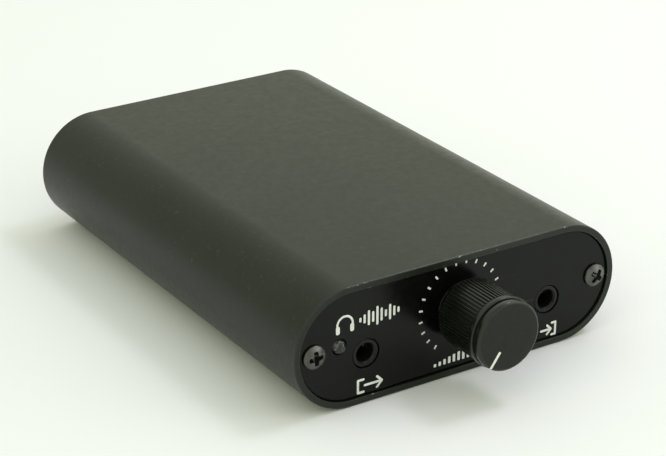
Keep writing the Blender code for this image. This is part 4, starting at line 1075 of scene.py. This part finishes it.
def make_socket(name, x, node):
    """A 3.5 mm socket: round nose, eased bore, contact leaves inside, and a moulded body."""
    form = Form()
    low, high = box(node)
    tip, end, face = low.y, high.y, -PLATE_BACK + 0.05
    bore, nose, clear = 1.95, 2.95, 0.4
    form.turned(x, JACK_Z, [
        (bore * 0.4, end - 1.2, 0), (bore, end - 1.2, 0), (bore, tip + 0.6, 0), (bore, tip + 0.4, 0),
        (bore + 0.2, tip + 0.1, 0.6), (bore + 0.3, tip, 0.6), (nose - 0.22, tip, 0.6),
        (nose - 0.06, tip + 0.07, 1), (nose, tip + 0.22, 0), (nose, face + 0.2, 0),
        (bore + clear, face + 0.2, 0), (bore + clear, end - 0.5, 0), (bore * 0.4, end - 0.5, 0)], 72)
    width, tall, middle = high.x - low.x, high.z - low.z, (high.z + low.z) / 2
    full = rectangle(x, middle, width, tall, 0.45)
    small = rectangle(x, middle, width - 0.3, tall - 0.3, 0.3)
    form.solid([(small, face, 1), (full, face + 0.15, 1), (full, end - 0.15, 1), (small, end, 1)],
               [circle(x, JACK_Z, bore + clear, 40)])
    for side in (-1, 1):
        for step in (3.4, 7.2):
            leaf = rectangle(x + side * 1.62, JACK_Z, 0.3, 1.0, 0.12, 2)
            form.bar(leaf, tip + step, tip + step + 2.2, slot=1)
    fit(form.piece(name, FINISH["jack"], FINISH["nickel"]), "amplifier", "jack_plastic", node)


def make_lamp():
    """A clear lamp: domed lens with a flange, and inside it the cup on its lead, and the post."""
    low, high = box("status_led")
    tip, back, radius = low.y, high.y, 1.5
    form = Form()
    dome = [(r, tip + radius - depth) for r, depth in arc(0, 0, radius, 0, 80, 12)]
    form.turned(LAMP_X, LAMP_Z, [(1.3, back), (1.9, back), (1.9, back - 0.95), (1.84, back - 1.0),
                                 (radius, back - 1.0), *dome, (0.06, tip)], 56)
    fit(form.piece("lamp_lens", FINISH["lens"]), "amplifier", "lamp_clear", "status_led")
    core = Form()
    anvil = tip + 2.0
    core.turned(LAMP_X - 0.2, LAMP_Z, [(0.25, anvil + 0.3), (0.5, anvil), (0.62, anvil),
                                       (0.5, anvil + 0.9), (0.2, anvil + 1.0)], 32)
    for dx, start in ((-0.35, 0.8), (0.55, 0.2)):
        core.bar(rectangle(LAMP_X + dx, LAMP_Z, 0.32, 0.32, 0.06, 2), anvil + start, back - 0.1)
    fit(core.piece("lamp_core", FINISH["nickel"]), "amplifier", "nickel")


def make_washer_and_nut():
    """Flat washer and hexagonal nut with turned corners, threaded on the control's neck, both finished near
    black as painted shade for the dark gap behind the knob.
    """
    form = Form()
    low, high = box("control_washer")
    inner, outer = form.turned(KNOB_X, KNOB_Z, [
        (NECK_HOLE, low.y, 0), (5.3, low.y, 1), (5.4, low.y + 0.1, 1), (5.4, high.y, 0),
        (NECK_HOLE, high.y, 0)], 72, closed=False)
    form.wall(inner, outer)
    low, high = box("control_nut")
    across_corners = 5.0 / math.cos(math.radians(30))
    hexagon = circle(KNOB_X, KNOB_Z, across_corners, 6)
    crown = circle(KNOB_X, KNOB_Z, across_corners * 0.94, 6)
    form.solid([(crown, low.y, 1), (hexagon, low.y + 0.28, 1), (hexagon, high.y, 0)],
               [circle(KNOB_X, KNOB_Z, NECK_HOLE, 48)])
    fit(form.piece("washer_and_nut", FINISH["shade_black"]), "amplifier", "nickel", "control_washer",
        "control_nut")


def make_charge_socket():
    """The charging socket: round nose, deep bore with a sprung side leaf, and its pin."""
    low, high = box("charge_socket")
    tip, back, face, nose = high.y, low.y, PLATE_BACK - 0.05, 3.9
    form = Form()
    form.turned(CHARGE_X, CHARGE_Z, [
        (1.05, tip - 9.0, 0), (3.15, tip - 9.0, 0), (3.15, tip - 0.3, 0), (3.3, tip - 0.08, 1),
        (3.42, tip, 1), (3.7, tip, 1), (nose - 0.06, tip - 0.07, 1), (nose, tip - 0.22, 0),
        (nose, face - 0.3, 0), (nose, back + 1.0, 0), (1.05, back + 1.0, 0)], 80)
    width, tall, middle = high.x - low.x, high.z - low.z, (low.z + high.z) / 2
    full = rectangle(CHARGE_X, middle, width, tall, 0.5)
    form.solid([(full, face, 1), (full, back + 0.2, 1),
                (rectangle(CHARGE_X, middle, width - 0.4, tall - 0.4, 0.3), back, 1)],
               [circle(CHARGE_X, CHARGE_Z, nose, 48)])
    leaf = rectangle(CHARGE_X + 2.95, CHARGE_Z, 0.3, 1.6, 0.12, 2)
    form.bar(leaf, tip - 1.6, tip - 8.6, slot=1)
    fit(form.piece("charge_jack", FINISH["jack"], FINISH["nickel"]), "amplifier", "jack_plastic",
        "charge_socket")
    pin = Form()
    root, end = (corner.y for corner in box("charge_socket_pin"))
    pin.turned(CHARGE_X, CHARGE_Z, [(0.8, root, 0), (1.0, root + 0.2, 0), (1.0, end - 1.0, 0),
                                    *rounded(0.3, end - 0.7, 0.7, 0, 85, 7)], 48)
    fit(pin.piece("charge_pin", FINISH["nickel"]), "amplifier", "nickel", "charge_socket_pin")


def make_switch_lever():
    """The slide switch's lever: a shoe inside and a stem outside with grip ribs on its tip."""
    low, high = box("power_switch_lever")
    x, _, z = (low + high) / 2
    width, tall, tip = high.x - low.x, high.z - low.z, high.y
    shoe_front, base = low.y + 3.4, tip - 0.45
    form = Form()
    form.eased_bar(rectangle(x, z, width, tall, 0.3), rectangle(x, z, width - 0.2, tall - 0.2, 0.2),
                   low.y, shoe_front, 0.1)
    form.eased_bar(rectangle(x, z, 3.2, 2.6, 0.25), rectangle(x, z, 3.04, 2.44, 0.2),
                   shoe_front - 0.1, base, 0.08)
    for place in range(-2, 3):
        rib_x = x + place * 0.62
        form.eased_bar(rectangle(rib_x, z, 0.36, 2.3, 0.12, 2), rectangle(rib_x, z, 0.2, 2.1, 0.08, 2),
                       base - 0.1, tip, 0.12)
    fit(form.piece("switch_lever", FINISH["black"]), "switch_lever", "black_plastic",
        "power_switch_lever")


# ---------------------------------------------------------------- inside

def make_can(node):
    """An electrolytic can: crimped foot, shrunk sleeve with its stripe, scored bare top."""
    low, high = box(node)
    radius, top = (high.x - low.x) / 2, low.z - high.z
    form = Form()
    stripe = form.mesh.verts.layers.float.new("stripe")
    sleeve = ((0.8, 0.0), (0.93, 0.0), (1, -0.3), (1, -1.0), (0.955, -1.3), (0.93, -1.55),
              (0.955, -1.8), (1, -2.1), (1, -2.6), (1, top + 0.9), (1, top + 0.45), (0.97, top + 0.2),
              (0.9, top + 0.06), (0.84, top), (0.8, top + 0.04))
    lid = ((0.79, top + 0.6), (0.79, top + 0.12), (0.6, top + 0.12), (0.1, top + 0.12))
    for slot, rows in enumerate((sleeve, lid)):
        form.turned(0, 0, [(share * radius, y) for share, y in rows], slot=slot)
    for vert in form.mesh.verts:
        away = abs(math.degrees(math.atan2(vert.co.z, vert.co.x)))
        vert[stripe] = max(0.0, 1.0 - away / 60.0)
    for lean in (0, 60, 120):
        score = arc(0, 0, 0.5 * radius, lean + 180, lean, 1)
        form.bar(stroke(score, 0.16), top + 0.2, top + 0.08, slot=1)
    for side in (-1, 1):
        form.turned(0, side * 1.25, [(0.28, 0.0), (0.28, -0.3)], 16, slot=1)
    turn = stand_up((low.x + high.x) / 2, (low.y + high.y) / 2, low.z)
    fit(form.piece(node + "_can", FINISH["sleeve"], FINISH["aluminium"], turn=turn), "amplifier",
        "can_sleeve", node)


def resistor_rows(half, drop, radius):
    """Stations from wire end to wire end: (along, height, tilt, size, on the body or not)."""
    wire, bend, body = 0.3, 0.8, 3.1
    rows = [(-half, drop, 90, wire, False)]
    for turn in range(0, 91, 15):
        a = math.radians(turn)
        rows.append((-half + bend * (1 - math.cos(a)), bend * (math.sin(a) - 1), 90 - turn, wire, False))
    for along, share in ((-body, 0.3), (0.02 - body, 0.62), (0.3 - body, 0.97), (-0.78 * body, 1.0),
                         (-0.55 * body, 0.97), (-0.42 * body, 0.86)):
        rows.append((along, 0.0, 0, share * radius, True))
    waist = [(0.42 * body * (i / 12 - 1), 0.0, 0, 0.86 * radius, True) for i in range(1, 24)]
    return rows + waist + [(-along, height, -tilt, size, on_body)
                           for along, height, tilt, size, on_body in reversed(rows)]


def make_resistor(node):
    """An axial resistor: bent wires, swollen ends and colour rings along its body."""
    low, high = box(node)
    x, y, _ = (low + high) / 2
    radius, body = 1.15, 3.1
    centre_z = high.z - radius
    form = Form()
    ring = form.mesh.verts.layers.float.new("ring")
    loops = []
    for along, height, tilt, size, on_body in resistor_rows((high.x - low.x) / 2 - 0.3,
                                                            low.z - centre_z, radius):
        lean = math.radians(tilt + 90)
        loops.append([form.point((x + along + dx * math.cos(lean), y + dy,
                                  centre_z + height + dx * math.sin(lean)))
                      for dx, dy in circle(0, 0, size, 24)])
        for vert in loops[-1]:
            vert[ring] = (along + body) / (2 * body) if on_body else -1.0
    form.walls(loops)
    form.face(loops[0])
    form.face(loops[-1])
    fit(form.piece(node + "_body", FINISH["bands"], sharp=40), "amplifier", "resistor_lacquer", node)


def make_inside():
    for kind in ("reservoir", "output"):
        for hand in ("left", "right"):
            make_can(f"{kind}_capacitor_{hand}")
    for kind in ("input", "feedback", "output"):
        for hand in ("left", "right"):
            make_resistor(f"{kind}_resistor_{hand}")


def refinish_cad_nodes():
    """Gives each CAD node that stays in view its own worked finish."""
    nodes = {
        "board": ["main_board"], "chip": ["amplifier_chip", "rail_splitter"],
        "black": ["chip_socket", "battery_clip", "led_holder"], "battery": ["battery"],
        "film": ["input_capacitor_left", "input_capacitor_right"],
        "foam": ["lower_battery_pad", "upper_battery_pad"], "nickel": ["volume_control"],
        "steel": ["volume_shaft", "knob_set_screw", "power_switch"],
    }
    for finish, names in nodes.items():
        for name in names:
            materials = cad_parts[name].data.materials
            for i in range(len(materials)):
                materials[i] = FINISH[finish]


# ---------------------------------------------------------------- stage, lights and camera

def make_floor():
    form = Form()
    form.bar(rectangle(0, 0, 12000, 12000), 0.0, 10.0)
    form.piece("studio_floor", pale_floor(), turn=stand_up(0, 0, -0.1))


def soft_light(name, place, aim, size, power, colour):
    data = bpy.data.lights.new(name, "AREA")
    data.shape = "RECTANGLE"
    data.size, data.size_y = size
    data.energy, data.color = power, colour
    lamp = bpy.data.objects.new(name, data)
    lamp.location = place
    lamp.rotation_euler = (Vector(place) - Vector(aim)).to_track_quat("Z", "Y").to_euler()
    bpy.context.scene.collection.objects.link(lamp)


def make_room():
    """A pale room, warmer at the left and cooler overhead."""
    world = bpy.data.worlds.new("pale_room")
    world.use_nodes = True
    nodes = Nodes(world.node_tree)
    back = next(node for node in world.node_tree.nodes if node.type == "BACKGROUND")
    place = nodes.add("ShaderNodeSeparateXYZ", Vector=nodes.add("ShaderNodeTexCoord")["Generated"])
    walls = nodes.blend(nodes.step(place["X"], -0.6, 0.6), rgb(0.72, 0.79, 0.60), rgb(0.96, 1.01, 0.80))
    ceiling = nodes.step(place["Z"], 0.55, 0.95)
    nodes.feed(back.inputs["Color"], nodes.blend(ceiling, walls, rgb(0.88, 0.87, 0.92)))
    back.inputs["Strength"].default_value = 1.0
    bpy.context.scene.world = world


def make_lights():
    """Two soft lights over the right, a broad one in front and a weak one at the left.

    Places and sizes are in metres, powers in watts.
    """
    soft_light("main_softbox", (0.48, -0.06, 0.74), (0.0, -0.03, 0.0), (0.42, 0.42), 0.95,
               (0.82, 0.81, 1.0))
    soft_light("front_right_fill", (0.7, -0.7, 0.35), (0.0, 0.0, 0.0), (0.6, 0.5), 1.7,
               (0.87, 0.86, 1.0))
    soft_light("left_fill", (-0.7, -0.3, 0.55), (0.0, 0.0, 0.0), (0.7, 0.6), 0.75, (0.95, 1.0, 0.82))
    soft_light("small_softbox", (0.38, -0.05, 0.64), (0.0, -0.06, 0.0), (0.13, 0.13), 0.75,
               (0.85, 0.85, 1.0))


def make_camera():
    """The three-quarter view from the front left, a little above."""
    data = bpy.data.cameras.new("camera")
    data.lens, data.sensor_width = 114.303, 36.0
    data.clip_start, data.clip_end = 0.01, 50.0
    data.shift_x, data.shift_y = -0.001, 0.0009
    camera = bpy.data.objects.new("camera", data)
    target, distance = Vector((2.081, -5.0, 12.413)) * MM, 458.448 * MM
    turn, tip, roll = (math.radians(angle) for angle in (-32.4916, 90 - 24.12, -0.0689))
    camera.matrix_world = (Matrix.Translation(target) @ Matrix.Rotation(turn, 4, "Z")
                           @ Matrix.Rotation(tip, 4, "X") @ Matrix.Translation((0.0, 0.0, distance))
                           @ Matrix.Rotation(roll, 4, "Z"))
    bpy.context.scene.collection.objects.link(camera)
    bpy.context.scene.camera = camera
    bpy.context.scene.view_settings.view_transform = "Standard"


make_case()
make_plates()
make_plate_screws()
make_knob()
make_pointer()
make_dial()
make_front_signs()
make_socket("out_socket", -JACK_X, "output_jack")
make_socket("in_socket", JACK_X, "input_jack")
make_lamp()
make_washer_and_nut()
make_charge_socket()
make_switch_lever()
make_rear_signs()
make_inside()
refinish_cad_nodes()
make_floor()
make_room()
make_lights()
make_camera()
